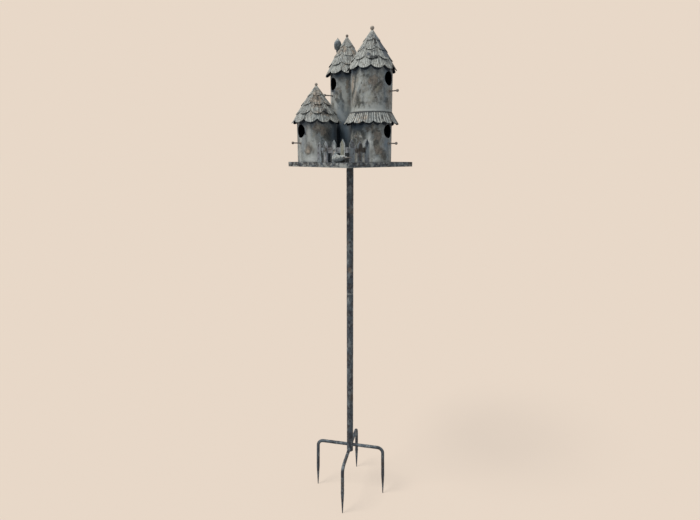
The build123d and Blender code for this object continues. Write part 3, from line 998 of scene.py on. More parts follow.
# %% Flat sheet with its entry
DRUM_CELL = 2.7
WINDOW = 30.0
HOLE_EDGE_R = ENTRY_R + 0.9
DRAW_IN = (0.6, 0.4, 0.0)
HOLE_LIP = ((0.5, -0.3), (0.2, -0.9), (0.1, -2.6))


def flat_sheet(bm, width, low, high, cells=None):
    """A grid of nearly square cells, standing upright from -width/2 to width/2."""
    along, up = cells or (round(width / DRUM_CELL), round((high - low) / DRUM_CELL))
    made = bmesh.ops.create_grid(bm, x_segments=along, y_segments=up, size=0.5)["verts"]
    for vert in made:
        vert.co = Vector((vert.co.x * width, 0, low + (vert.co.y + 0.5) * (high - low)))
    return made


def extrude_ring(bm, ring):
    """Extrudes a closed ring of open edges; returns the new ring and its points."""
    made = bmesh.ops.extrude_edge_only(bm, edges=ring)["geom"]
    verts = [g for g in made if isinstance(g, bmesh.types.BMVert)]
    fresh = set(verts)
    return [e for e in made if isinstance(e, bmesh.types.BMEdge) and fresh.issuperset(e.verts)], verts


def cut_entry(bm, height):
    """Clears a window round the entry, draws its border in to a circle and turns the edge in."""
    centre = Vector((0, 0, height))
    middles = {f: f.calc_center_median() - centre for f in bm.faces}
    inside = [f for f, middle in middles.items() if max(abs(middle.x), abs(middle.z)) < WINDOW]
    window = set(inside)
    ring = [e for e in bm.edges if len(e.link_faces) == 2 and len(window.intersection(e.link_faces)) == 1]
    bmesh.ops.delete(bm, geom=inside, context="FACES")
    for keep in DRAW_IN:
        ring, verts = extrude_ring(bm, ring)
        for vert in verts:
            away = vert.co - centre
            vert.co = centre + away.normalized() * (HOLE_EDGE_R + (away.length - HOLE_EDGE_R) * keep)
    for shrink, depth in HOLE_LIP:
        ring, verts = extrude_ring(bm, ring)
        for vert in verts:
            away = Vector((vert.co.x, 0, vert.co.z - height)).normalized()
            vert.co = centre + away * (ENTRY_R + shrink) + Vector((0, depth, 0))


print("turned edge of an entry:", HOLE_EDGE_R, "mm in radius")

# %% [markdown]
# A lock seam runs down the front, above and below the entry. The flat sheet could be
# folded there, but here its ends are welded at the back, where nobody sees the joint.
# The seam is a narrow strip of its own, raised along its middle and sunk a little at
# its edges, so that no gap shows beside it.

# %% Seam
SEAM_WIDTH = 6.0
SEAM_RIDGE = 1.8
SEAM_OUT = 0.75
SEAM_IN = -0.1
SEAM_CLEAR = ENTRY_R + 1.5
SEAM_CELLS = {"below": (4, 40), "above": (4, 16)}


def seam(bm, low, high, cells):
    """A strip of the lock seam from low to high."""
    for vert in flat_sheet(bm, SEAM_WIDTH, low, high, cells):
        vert.co.y = SEAM_OUT if abs(vert.co.x) < SEAM_RIDGE else SEAM_IN


print("the seam stands", SEAM_OUT, "mm proud")

# %% [markdown]
# Some paint comes by rule on every drum: a dark painted shadow and a softer painted
# shade under the scallops of the eaves, painted shade on the entry's rim, a dark line
# along the foot, chalk round the entry and just above the foot, and dirt in broad patches.
# The marks of each drum come on top of that.

# %% Drum
DIRT_PATCH = 42


def shade_and_weather(bm, layers, house, low, entry_height, eaves):
    """Paints the shadow under the eaves, shade on the entry's rim, the foot's line, chalk and dirt."""
    radius = HOUSES[house]["r"]
    for vert in bm.verts:
        up = vert.co.z
        from_hole = Vector((vert.co.x, 0, up - entry_height)).length - ENTRY_R
        eaves_edge = eaves[3] + scallop(HOUSES[house]["entry"] + degrees(vert.co.x / radius), *eaves[4:])
        under_eaves = smooth_step(up, eaves_edge - 8, eaves_edge - 1)
        foot_line = bell(up - low, 2.5)
        splash = bell(up - low - 8, 6)
        hole_rim = bell(from_hole + 0.2, 1.3)
        patch = noise.noise(vert.co / DIRT_PATCH + Vector((0, radius, low)))
        # Painted shadow under the eaves and painted shade on the entry's rim; a dark line at the foot.
        vert[layers["soot_and_shade"]] = 1.2 * under_eaves + 0.45 * foot_line + 0.9 * hole_rim
        vert[layers["shade"]] = 0.48 * smooth_step(up, eaves_edge - 18, eaves_edge - 3)
        vert[layers["chalk"]] = 0.3 * bell(from_hole, 4) + 0.45 * splash
        vert[layers["dirt"]] = 0.08 + 0.5 * smooth_step(patch, 0.1, 0.5)


def drum(name, node, house, low, high, entry_height, eaves, marks):
    """One rolled drum with its hole, seam and worn paint."""
    radius = HOUSES[house]["r"]
    bm = bmesh.new()
    flat_sheet(bm, 2 * pi * radius, low, high)
    cut_entry(bm, entry_height)
    seam(bm, low, entry_height - SEAM_CLEAR, SEAM_CELLS["below"])
    seam(bm, entry_height + SEAM_CLEAR, high, SEAM_CELLS["above"])
    layers = paint_layers(bm, "rust", "soot_and_shade", "chalk", "dirt", "shade", "murk", "peach", "blue_shade")
    shade_and_weather(bm, layers, house, low, entry_height, eaves)
    for vert in bm.verts:
        stain_point(vert, layers, marks, vert.co.x, vert.co.z)
        angle = radians(HOUSES[house]["entry"]) + vert.co.x / radius
        vert.co = about(house, vert.co.z, angle, radius + vert.co.y) * MM
    weld(bm)
    thicken(bm, SHEET * MM)
    finish_piece(name, bm, [HOUSE_SHEET, DARK_INSIDE], node)


# %% [markdown]
# The marks of the drums are the stains and shading that stand out in the photograph:
# each has a place along the drum from the entry, a height over the platform, a half
# width and half height in millimetres, a strength and sometimes a lean. The shade and
# blue shade marks, and most soot marks, are painted shade in the gaps between drums, at
# their edges and below the entries. Behind, where no photograph helps, a few broad ones
# keep the drums from looking new.

# %% Drums
DRUM_MARKS = {
    "left": {
        "shade": ((23, 123, 12, 7, 0.7), (146, 80, 24, 66, 1.5)),
        "chalk": (
            (37, 94, 8, 30, 0.9), (-4, 36, 8, 38, 1.0), (4, 72, 6, 7, 1.0), (46, 12, 28, 14, 0.9),
            (54, 62, 17, 20, 0.6), (70, 52, 4, 17, 0.5), (65, 48, 9, 34, 1.2), (50, 12, 18, 13, 0.9),
            (-34, 96, 10, 22, 0.7),
        ),
        "rust": (
            (68, 109, 14, 8, 1.5), (64, 103, 20, 16, 0.45), (91, 97, 14, 16, 1.0),
            (33, 38, 13, 13, 1.3), (98, 41, 12, 10, 0.8), (-90, 60, 18, 30, 0.7),
        ),
        "peach": ((69, 110, 6, 4, 0.7), (33, 36, 7, 8, 0.9)),
        "soot_and_shade": (
            (108, 92, 12, 15, 0.55), (7, 40, 2, 38, 0.6), (105, 17, 8, 21, 1.0), (23, 93, 3, 9, 0.9),
        ),
        "murk": (
            (110, 92, 17, 22, 1.3), (98, 82, 17, 10, 0.9), (22, 47, 4, 3, 0.6), (23, 30, 6, 4, 0.6),
            (44, 44, 4, 5, 0.5), (90, 14, 11, 17, 0.5),
        ),
        "blue_shade": ((130, 90, 14, 40, 0.9), (12, 60, 8, 30, 0.5)),
        "dirt": ((74, 100, 24, 20, 0.5), (32, 39, 16, 17, 0.5), (-140, 70, 40, 40, 0.6)),
    },
    "right_lower": {
        "shade": ((-131, 114, 44, 13, 0.9), (-96, 120, 19, 8, 0.6), (-2, 39, 8, 26, 0.3)),
        "dirt": ((-112, 84, 30, 26, 1.1), (-49, 70, 24, 46, 0.5), (140, 70, 36, 50, 0.6)),
        "murk": (
            (-96, 92, 9, 9, 1.0), (-86, 76, 8, 7, 0.9), (-132, 92, 10, 8, 0.8), (-108, 104, 10, 7, 0.7),
            (-96, 115, 6, 5, 0.5), (-74, 107, 4, 4, 0.45), (-59, 95, 6, 7, 0.9), (-44, 62, 6, 8, 0.8),
            (-53, 59, 6, 13, 1.0, 0.1), (-19, 37, 6, 4, 0.9), (-33, 26, 9, 4, 0.7, 0.9),
            (-15, 14, 8, 9, 1.1, 0.3), (-131, 69, 12, 5, 0.8), (-112, 42, 16, 15, 1.2),
            (-131, 65, 12, 12, 0.9), (-40, 99, 10, 6, 0.8), (-103, 107, 11, 6, 0.7),
            (-92, 86, 4, 8, 0.9), (-15, 24, 9, 12, 0.6),
        ),
        "peach": ((-122, 84, 8, 8, 0.9), (-98, 84, 6, 7, 0.7), (-44, 42, 7, 8, 0.6)),
        "chalk": (
            (-121, 85, 8, 8, 0.6), (-98, 84, 6, 7, 0.7), (-85, 61, 5, 15, 1.3, 0.1),
            (-66, 67, 7, 30, 1.5, -0.2), (-71, 15, 5, 17, 1.0), (-49, 12, 12, 8, 0.8),
            (-151, 84, 8, 17, 0.5), (-102, 74, 11, 9, 1.0), (-124, 88, 10, 8, 0.9),
            (-73, 52, 6, 28, 1.8), (-84, 66, 7, 11, 1.4), (-92, 52, 6, 12, 0.9), (-66, 8, 26, 9, 1.0),
            (-55, 20, 4, 16, 0.8), (-107, 90, 7, 7, 0.7), (60, 50, 12, 40, 0.7),
        ),
        "rust": (
            (-66, 110, 23, 11, 0.55), (-41, 78, 9, 9, 0.9), (-48, 61, 10, 20, 0.8),
            (-42, 39, 10, 11, 1.2), (-22, 26, 14, 17, 0.7), (-103, 58, 14, 17, 0.5),
            (-79, 98, 12, 9, 0.5), (-46, 90, 15, 12, 0.9), (90, 60, 20, 34, 0.6),
        ),
        "blue_shade": ((-10, 58, 12, 22, 0.9), (-120, 110, 26, 12, 0.6)),
    },
    "right_upper": {
        "peach": ((-138, 247, 9, 27, 1.2, 0.1), (-124, 215, 5, 24, 0.9, 0.4)),
        "murk": (
            (-124, 255, 4, 32, 1.3, 0.2), (-136, 217, 5, 18, 1.2, 0.6), (-92, 264, 7, 6, 0.9, 0.4),
            (-98, 243, 4, 7, 0.8, 0.3), (-88, 235, 4, 4, 0.8), (-104, 219, 4, 6, 1.3, 0.2),
            (-113, 199, 5, 9, 1.3, 0.1), (-110, 187, 5, 10, 1.4, -0.1), (-94, 183, 9, 4, 1.3, -0.9),
            (-122, 176, 4, 8, 1.1, 0.6), (-106, 175, 4, 8, 1.0, 0.2), (-53, 230, 6, 11, 0.9, 0.7),
            (-40, 243, 6, 12, 0.7, 0.8), (-33, 216, 3, 7, 0.6, 0.1), (-52, 200, 5, 5, 1.0, 0.3),
            (-13, 193, 9, 10, 1.2, 0.1), (-2, 171, 6, 7, 0.6, -0.4), (-146, 209, 7, 16, 0.9),
            (-134, 255, 4, 10, 0.7), (160, 200, 5, 16, 0.7, 0.4),
        ),
        "shade": ((-146, 287, 40, 17, 1.0), (-8, 280, 16, 10, 0.5)),
        "chalk": (
            (-121, 218, 5, 34, 0.7, 0.5), (-102, 258, 14, 30, 0.8), (-78, 203, 14, 27, 0.9),
            (-120, 170, 20, 8, 0.9), (-28, 240, 4, 40, 0.7), (-54, 176, 14, 13, 0.8),
            (-32, 172, 10, 10, 0.7), (-67, 162, 80, 3, 1.1), (120, 210, 20, 34, 0.8),
        ),
        "rust": (
            (-72, 247, 5, 17, 0.7, 0.1), (-57, 252, 11, 14, 1.2, 0.2), (-44, 230, 14, 19, 1.1, 0.6),
            (-8, 184, 13, 20, 0.6), (-143, 238, 7, 30, 1.1), (80, 240, 18, 30, 0.7),
        ),
        "blue_shade": ((-12, 262, 12, 28, 0.9), (-20, 210, 8, 30, 0.4)),
        "dirt": ((-83, 262, 17, 27, 0.5), (-45, 239, 21, 27, 0.6, 0.5), (-112, 199, 18, 34, 0.7, 0.3)),
    },
    "rear": {
        "shade": (
            (40, 288, 48, 11, 0.8), (46, 186, 6, 16, 0.6, -0.2), (32, 89, 14, 48, 1.5),
            (50, 96, 9, 50, 0.45), (60, 128, 16, 8, 0.8),
        ),
        # Chalk; near 46 to 60 mm along, beside the right tower, it is painted light that lifts the shade.
        "chalk": (
            (30, 271, 5, 15, 1.0, -0.7), (46, 240, 8, 40, 0.8), (28, 176, 11, 48, 1.2, -0.6),
            (45, 153, 8, 18, 1.0, -0.4), (-5, 226, 9, 22, 0.8), (60, 250, 7, 46, 1.0),
            (57, 190, 7, 30, 0.8), (20, 276, 6, 12, 1.1), (-60, 100, 16, 60, 0.7),
        ),
        "rust": ((32, 239, 14, 18, 0.6, -0.6), (63, 254, 7, 33, 0.8), (-110, 150, 20, 50, 0.7)),
        "murk": (
            (24, 233, 7, 9, 0.9, -0.4), (24, 210, 8, 9, 1.1, -0.6), (44, 209, 6, 13, 0.9, -0.4),
            (40, 225, 5, 9, 1.0), (10, 234, 8, 18, 0.7), (28, 206, 7, 7, 0.8),
        ),
        "dirt": ((36, 226, 14, 24, 0.3, -0.4), (140, 180, 36, 80, 0.6)),
        "blue_shade": ((56, 92, 18, 56, 1.3), (34, 164, 16, 34, 0.7), (10, 250, 6, 20, 0.5)),
        "soot_and_shade": ((29, 89, 8, 48, 1.4), (0, 241, 14, 4, 1.1)),
    },
}
for storey, house, low, high, eaves in (
    ("left", "left", 0.0, wall_top("left"), roof_rows("left")[-1]),
    ("right_lower", "right", 0.0, STOREY - SHEET, SKIRT_ROW),
    ("right_upper", "right", STOREY, wall_top("right"), roof_rows("right")[-1]),
    ("rear", "rear", 0.0, wall_top("rear"), roof_rows("rear")[-1]),
):
    drum(
        f"{storey}_drum", f"{storey}_wall", house, low, high, ENTRIES[storey], eaves, DRUM_MARKS[storey]
    )

# %% [markdown]
# ## Turned parts
# Finials, perches, the pole's tubes and the flange are round about an axis. Each starts
# as a few points of its outline, which `spin` turns about the axis in one step. An
# outline is a list of (radius, along) pairs, and its round stretches are worked out.

# %% Turning
TURNED_WELD_MM = 0.01


def turn_outline(bm, outline, steps=32):
    """Spins an outline of (radius, along) pairs in millimetres about the Z axis."""
    verts = [bm.verts.new((radius * MM, 0, along * MM)) for radius, along in outline]
    edges = [bm.edges.new(pair) for pair in zip(verts, verts[1:])]
    bmesh.ops.spin(
        bm, geom=verts + edges, cent=(0, 0, 0), axis=(0, 0, 1), angle=2 * pi, steps=steps, use_merge=True
    )
    weld(bm, TURNED_WELD_MM)


def arc_points(centre, radius, end, count=12):
    """An arc from the tip of an outline to the angle `end`, as (radius, along) pairs."""
    turns = [radians(end * k / (count - 1)) for k in range(count)]
    return [(max(radius * sin(t), 0.0), centre + radius * cos(t)) for t in turns]


print("points of half a ball:", len(arc_points(0, 5, 90)))

# %% [markdown]
# ### Finials
# A ball sits on a small collar at each tip, and a pin below it closes the roof. The
# balls are a little lumpy: noise moves their points in and out along the radius.

# %% Finials
NECK_R = 2.5
COLLAR = ((NECK_R, 0.9), (3.2, 0.8), (3.7, 0.3), (3.6, -0.5), (2.2, -0.6), (2.2, -4), (0, -4))
BALL_SEAT = 1.0
BALL_LUMP = 3.2
BALL_LUMP_MM = 0.5

for house, sizes in HOUSES.items():
    ball_r = sizes["ball_r"]
    apex = PLATFORM_TOP + sizes["apex"]
    lift = sqrt(ball_r**2 - NECK_R**2)
    centre = apex + BALL_SEAT + lift
    bm = bmesh.new()
    ball = arc_points(centre, ball_r, 180 - degrees(atan2(NECK_R, lift)))
    turn_outline(bm, [*ball, *((radius, apex + along) for radius, along in COLLAR)])
    axis = Vector((sizes["x"], sizes["y"], 0))
    bmesh.ops.translate(bm, verts=bm.verts, vec=axis * MM)
    chalk = bm.verts.layers.float.new("chalk")
    for vert in bm.verts:
        vert[chalk] = sizes["ball_chalk"]
        if vert.co.z > (apex + BALL_SEAT + 0.2) * MM:
            out = (vert.co - (axis + UPWARD * centre) * MM).normalized()
            vert.co += out * noise.noise(vert.co / MM / BALL_LUMP) * BALL_LUMP_MM * MM
    finish_piece(f"{house}_finial_ball", bm, [TURNED_RUST], f"{house}_finial")

# %% [markdown]
# ### Perches
# A perch is a rod with a ball at its end and a flared washer against the wall. It is
# turned upright as one outline, laid over towards the way its house looks, and moved
# to its place under the entry.

# %% Perches
PERCH_DROP = 38.5
PERCH_REACH = 31.0
PERCH_BALL_R = 4.5
PERCH_R = 2.0
PERCH_WASHER = ((3.6, 1.6), (4.3, 0.5), (4.2, -0.4), (PERCH_R, -0.5))

for storey, entry_height in ENTRIES.items():
    house = storey.split("_")[0]
    wall = HOUSES[house]["r"]
    end = wall + PERCH_REACH
    inner = wall - SHEET - 3.0
    bm = bmesh.new()
    turn_outline(bm, [
        *arc_points(end, PERCH_BALL_R, 150), (2.6, end - 4.4), (PERCH_R, end - 5.2),
        (1.9, (end + wall) / 2), (PERCH_R, wall + 2.6),
        *((radius, wall + along) for radius, along in PERCH_WASHER), (PERCH_R, inner), (0, inner),
    ], steps=24)
    looks = radians(HOUSES[house]["entry"])
    over = Vector((cos(looks), sin(looks), 0)).to_track_quat("Z", "Y").to_matrix()
    bmesh.ops.rotate(bm, verts=bm.verts, cent=(0, 0, 0), matrix=over)
    bmesh.ops.translate(bm, verts=bm.verts, vec=about(house, entry_height - PERCH_DROP) * MM)
    finish_piece(f"{storey}_perch_turned", bm, [TURNED_RUST], f"{storey}_perch")

# %% [markdown]
# ## Pole
# Two tubes meet at mid height, where the upper one sits on a spigot. The tube's skin is
# not perfect: it was beaten lightly, so its points are moved in and out by a little
# noise, which catches the light as the mottled iron in the photograph does. The marks
# have an angle in degrees and a height over the ground: a worn ring at the joint, and
# rust and rubbed places near it and above.

# %% Pole tubes
POLE_R = 12.5
POLE_BORE_R = POLE_R - 1.5
POLE_JOINT = 839.0
POLE_FOOT = 179.25
FLANGE_LOW = 1310.5
TUBE_ROW = 6
TUBE_CHAMFER = 0.6
TUBE_END_R = POLE_R - 0.5
BEATEN_LUMP = 9.0
BEATEN_MM = 0.45
BEATEN_IN = 0.35
POLE_MARKS = {
    "chalk": (
        (0, POLE_JOINT + 2, 900, 4, 0.9), (-72, 1108, 20, 12, 0.8), (-75, 820, 25, 14, 0.8),
        (-80, 964, 25, 10, 0.7),
    ),
    "rust": ((-45, 930, 45, 13, 1.0), (-80, 1035, 25, 16, 0.8), (-5, 1140, 25, 14, 0.8)),
}


def tube(name, node, low, high):
    """A beaten tube with rounded ends and an open bore."""
    rows = round((high - low) / TUBE_ROW)
    outer = [(POLE_R, low + (high - low) * k / rows) for k in range(1, rows)]
    bm = bmesh.new()
    turn_outline(bm, [
        (POLE_BORE_R, low), (TUBE_END_R, low), (POLE_R, low + TUBE_CHAMFER), *outer,
        (POLE_R, high - TUBE_CHAMFER), (TUBE_END_R, high), (POLE_BORE_R, high), (POLE_BORE_R, low),
    ])
    layers = paint_layers(bm, "rust", "chalk")
    for vert in bm.verts:
        flat = Vector((vert.co.x, vert.co.y, 0))
        if flat.length > (TUBE_END_R - 0.2) * MM:
            lump = noise.noise(vert.co / MM / BEATEN_LUMP + Vector((low, 0, 0)))
            vert.co += flat.normalized() * (lump - BEATEN_IN) * BEATEN_MM * MM
        stain_point(vert, layers, POLE_MARKS, degrees(atan2(vert.co.y, vert.co.x)), vert.co.z / MM)
    finish_piece(name, bm, [DARK_IRON], node)


tube("upper_tube", "upper_pole", POLE_JOINT, FLANGE_LOW)
tube("lower_tube", "lower_pole", POLE_FOOT, POLE_JOINT)

# %% [markdown]
# ### Flange
# A round plate under the tray takes the pole's upper end, with a small weld round the
# tube and four rivets. A rivet's head is a ball pressed flat. Two CAD solids are right
# as they are, and only get their finish: the spigot in the pole and the storey's floor.

# %% Flange under the platform
FLANGE_R = 35
FLANGE_T = 3
FLANGE_WELD = ((16.3, 0), (14.3, -0.7), (12.7, -2.8), (11.1, -2.6), (11.1, 0), (0, 0))
RIVET_R = 4.2
RIVET_FLATNESS = 0.5
RIVET_RING_R = 25
RIVETS = 4

bm = bmesh.new()
turn_outline(bm, [(radius, FLANGE_LOW + up) for radius, up in (
    (0, FLANGE_T), (FLANGE_R - 0.4, FLANGE_T), (FLANGE_R, FLANGE_T - 0.4), (FLANGE_R, 1.2),
    (FLANGE_R - 1, 0), *FLANGE_WELD,
)], steps=56)
for number in range(RIVETS):
    head = bmesh.ops.create_uvsphere(bm, u_segments=16, v_segments=8, radius=RIVET_R * MM)["verts"]
    bmesh.ops.scale(bm, verts=head, vec=(1, 1, RIVET_FLATNESS))
    angle = 2 * pi * (number + 0.5) / RIVETS
    place = Vector((RIVET_RING_R * cos(angle), RIVET_RING_R * sin(angle), FLANGE_LOW + 0.2))
    bmesh.ops.translate(bm, verts=head, vec=place * MM)
finish_piece("flange_with_rivets", bm, [DARK_IRON], "pole_flange")

for node, material in (("pole_spigot", DARK_IRON), ("right_storey_floor", HOUSE_SHEET)):
    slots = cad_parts[node].data.materials
    slots.clear()
    slots.append(material)
    print(node, "keeps its shape and gets", material.name)

# %% [markdown]
# ## Prongs
# Each bar goes through the foot of the pole and turns down into two legs that taper to
# the ground. A curve with a bevel could make it, but a taper along a bend is easier to
# steer here: a circle is extruded along the straight run, spun round the bend, extruded
# on and scaled down step by step. Half of it is made that way and then mirrored.

# %% Prongs
PRONG_R = 6.25
PRONG_TIP_R = 1.6
PRONG_TIP = 136.0
PRONG_SPLAY = 4.0
BEND_R = 22.0
TAPER_START = 84.0
RUN_STEPS, BEND_STEPS, LEG_STEPS = 16, 10, 24
HAMMERED_FROM = 15
HAMMERED_LUMP = 8.0
HAMMERED_MM = 0.5


def thickness(height):
    """A leg's thickness at a height in metres, as a share of the bar's."""
    return 1 - (1 - PRONG_TIP_R / PRONG_R) * max(0.0, 1 - height / (TAPER_START * MM))


def prong_bar(name, node, height, angle):
    """Half a bar from its middle to one tip, then mirrored and welded."""
    lean = PRONG_SPLAY / height
    run = PRONG_TIP - PRONG_SPLAY - BEND_R * (1 - lean)
    bm = bmesh.new()
    ring = bmesh.ops.create_circle(bm, segments=20, radius=PRONG_R * MM)["verts"]
    bmesh.ops.rotate(bm, verts=ring, cent=(0, 0, 0), matrix=Matrix.Rotation(pi / 2, 3, "Y"))
    bmesh.ops.translate(bm, verts=ring, vec=(0, 0, height * MM))
    edges = list(bm.edges)
    for _ in range(RUN_STEPS):
        edges, ring = extrude_ring(bm, edges)
        bmesh.ops.translate(bm, verts=ring, vec=(run / RUN_STEPS * MM, 0, 0))
    made = bmesh.ops.spin(
        bm, geom=edges, cent=(run * MM, 0, (height - BEND_R) * MM), axis=(0, 1, 0),
        angle=pi / 2 - atan2(lean, 1), steps=BEND_STEPS,
    )["geom_last"]
    ring = [g for g in made if isinstance(g, bmesh.types.BMVert)]
    edges = [g for g in made if isinstance(g, bmesh.types.BMEdge)]
    bend_end = sum((v.co for v in ring), Vector()) / len(ring)
    tip = Vector((PRONG_TIP * MM, 0, 0))
    step = (tip - bend_end) / LEG_STEPS
    for number in range(1, LEG_STEPS + 1):
        edges, ring = extrude_ring(bm, edges)
        bmesh.ops.translate(bm, verts=ring, vec=step)
        centre = bend_end + step * number
        thin = thickness(centre.z) / thickness((centre - step).z)
        bmesh.ops.scale(bm, verts=ring, vec=(thin, thin, 1), space=Matrix.Translation(-centre))
    edges, ring = extrude_ring(bm, edges)
    bmesh.ops.scale(bm, verts=ring, vec=(0.5, 0.5, 1), space=Matrix.Translation(-tip))
    bmesh.ops.contextual_create(bm, geom=edges)
    for vert in bm.verts:
        if vert.co.x > HAMMERED_FROM * MM:
            lump = noise.noise(vert.co / MM / HAMMERED_LUMP + Vector((height, angle, 0)))
            vert.co += Vector((0.25, 1.0, 0.25)) * lump * HAMMERED_MM * MM
        vert.co.z = max(vert.co.z, 0.0)
    half = bm.verts[:] + bm.edges[:] + bm.faces[:]
    bmesh.ops.mirror(bm, geom=half, matrix=Matrix.Identity(4), merge_dist=WELD_MM * MM, axis="X")
    bmesh.ops.rotate(bm, verts=bm.verts, cent=(0, 0, 0), matrix=Matrix.Rotation(radians(angle), 3, "Z"))
    weld(bm)
    finish_piece(name, bm, [DARK_IRON], node, sharp=radians(60))


prong_bar("upper_prongs", "prong_bar_upper", 206.0, 36.0)
prong_bar("lower_prongs", "prong_bar_lower", 193.2, -54.8)

# %% [markdown]
# ## Platform
# The tray is one sheet with its rim turned down. A cube gives its outside; the bottom
# face is inset and pushed up to hollow it, and bevels round the corners and the folds.

# %% Tray
CORNER_ROUND = 2.0
TRAY_SHEET = 1.5
FOLD_ROUND = 0.7
FOLD_ANGLE = radians(60)
AT_SIDE = PLATFORM_SIDE / 2 - 1.1


def tray_bmesh():
    """The hollow tray with rounded corners and folds."""
    bm = bmesh.new()
    bmesh.ops.create_cube(bm, size=1.0)
    bmesh.ops.scale(bm, verts=bm.verts, vec=Vector((PLATFORM_SIDE, PLATFORM_SIDE, PLATFORM_RIM)) * MM)
    bmesh.ops.translate(bm, verts=bm.verts, vec=(0, 0, (PLATFORM_TOP - PLATFORM_RIM / 2) * MM))
    rise = {e: abs(e.verts[0].co.z - e.verts[1].co.z) for e in bm.edges}
    bmesh.ops.bevel(
        bm, geom=[e for e in rise if rise[e] > MM], offset=CORNER_ROUND * MM,
        affect="EDGES", segments=4, profile=0.5, material=-1,
    )
    under = [f for f in bm.faces if f.normal.z < -0.9]
    bmesh.ops.inset_region(bm, faces=under, thickness=TRAY_SHEET * MM, use_even_offset=True)
    pushed = bmesh.ops.extrude_face_region(bm, geom=under)["geom"]
    bmesh.ops.delete(bm, geom=under, context="FACES_ONLY")
    pushed = [g for g in pushed if isinstance(g, bmesh.types.BMVert)]
    bmesh.ops.translate(bm, verts=pushed, vec=(0, 0, (PLATFORM_RIM - TRAY_SHEET) * MM))
    folds = [
        e for e in bm.edges
        if len(e.link_faces) == 2 and e.calc_face_angle() > FOLD_ANGLE
        and abs(e.verts[0].co.z - e.verts[1].co.z) < 0.1 * MM
        and max(abs(e.verts[0].co.x), abs(e.verts[0].co.y)) > AT_SIDE * MM
    ]
    bmesh.ops.bevel(
        bm, geom=folds, offset=FOLD_ROUND * MM, affect="EDGES", segments=2, profile=0.5, material=-1
    )
    return bm


def refine(bm, longest, rounds):
    """Halves the edges that are longer than a length, so that paint has points to sit on."""
    for _ in range(rounds):
        long_edges = [e for e in bm.edges if e.calc_length() > longest]
        bmesh.ops.subdivide_edges(bm, edges=long_edges, cuts=1)
        bmesh.ops.triangulate(bm, faces=[f for f in bm.faces if len(f.verts) > 4])


print("the tray is", PLATFORM_RIM, "mm deep")

# %% [markdown]
# The tray's faces are large, so they are cut finer before the paint goes on: the top
# darker, a pale line along the rim's lower fold and a few pale patches on the rim, each
# with its place in millimetres from the tray's middle, a reach and a strength.

# %% Tray's paint
TRAY_CELL = 12
RIM_PATCHES = (
    (126, -152, 12, 0.7), (100, -152, 8, 0.6), (146, -152, 6, 0.8), (60, -152, 10, 0.5), (20, -152, 9, 0.5),
    (-40, -152, 12, 0.5), (-110, -152, 14, 0.5), (152, -100, 10, 0.4), (152, 10, 12, 0.4), (152, 90, 10, 0.4),
)

bm = tray_bmesh()
bmesh.ops.triangulate(bm, faces=[f for f in bm.faces if len(f.verts) > 4])
refine(bm, TRAY_CELL * MM, 4)
layers = paint_layers(bm, "chalk", "soot_and_shade")
for vert in bm.verts:
    x, y, z = vert.co / MM
    vert[layers["soot_and_shade"]] = 0.75 * smooth_step(z, PLATFORM_TOP - 2, PLATFORM_TOP)
    if max(abs(x), abs(y)) > AT_SIDE - 0.1:
        vert[layers["chalk"]] = 0.6 * bell(z - PLATFORM_TOP + PLATFORM_RIM, 1.2)
        for patch_x, patch_y, reach, strength in RIM_PATCHES:
            vert[layers["chalk"]] += strength * bell(sqrt((x - patch_x) ** 2 + (y - patch_y) ** 2), reach)
bmesh.ops.recalc_face_normals(bm, faces=bm.faces)
finish_piece("platform_tray", bm, [PLATFORM_SHEET], "platform", sharp=radians(50))

# %% [markdown]
# ## Picket fence
# Each wing is a rail with flat pointed pickets, pressed with a raised border. A picket
# is one five-sided face: two insets make the border and the sunk middle, and its points
# carry the chalk of the border. Both are built flat along x, in millimetres.

# %% Picket and rail
PICKET_W = 21.0
PICKET_T = 1.5
SHOULDER = 14.0
EDGE_W, BORDER_W, PRESSED_W = 0.5, 2.6, 1.3
PRESSED_DEPTH = 0.8
BORDER_CHALK, MIDDLE_CHALK = 0.22, 0.1
BLOCK_ROUND = 0.35


def box_block(bm, low, high):
    """A block between two corners with softened edges."""
    made = bmesh.ops.create_cube(bm, size=1.0)["verts"]
    for vert in made:
        vert.co = Vector((a + b) / 2 + unit * (b - a) for a, b, unit in zip(low, high, vert.co))
    edges = list(dict.fromkeys(e for v in made for e in v.link_edges))
    bmesh.ops.bevel(
        bm, geom=edges, offset=BLOCK_ROUND, affect="EDGES", segments=1, profile=0.5, material=-1
    )


def picket(bm, layers, middle, height):
    """A pointed picket in the plane y = 0, its front facing -y, with a pressed, chalky border."""
    half = PICKET_W / 2
    outline = [(-half, 0), (half, 0), (half, height - SHOULDER), (0, height), (-half, height - SHOULDER)]
    front = bm.faces.new([bm.verts.new((middle + a, 0, b)) for a, b in outline])
    front.normal_update()
    before = set(bm.verts) - set(front.verts)
    bmesh.ops.solidify(bm, geom=[front], thickness=PICKET_T)
    for width in (EDGE_W, BORDER_W):
        bmesh.ops.inset_region(bm, faces=[front], thickness=width, depth=0.0, use_even_offset=True)
    for vert in bm.verts:
        if vert not in before:
            vert[layers["chalk"]] = BORDER_CHALK
    bmesh.ops.inset_region(
        bm, faces=[front], thickness=PRESSED_W, depth=-PRESSED_DEPTH, use_even_offset=True
    )
    for vert in front.verts:
        vert[layers["chalk"]] = MIDDLE_CHALK
    bmesh.ops.poke(bm, faces=[front])


print("a picket's sunk middle is", PICKET_W - 2 * (EDGE_W + BORDER_W + PRESSED_W), "mm wide")

# %% [markdown]
# A wing is cut finer, stained and then turned into its place along one side of the
# tray. The marks have a place along the wing from the corner and a height, like those
# of the drums. A picket is given by its middle along the wing and its height.

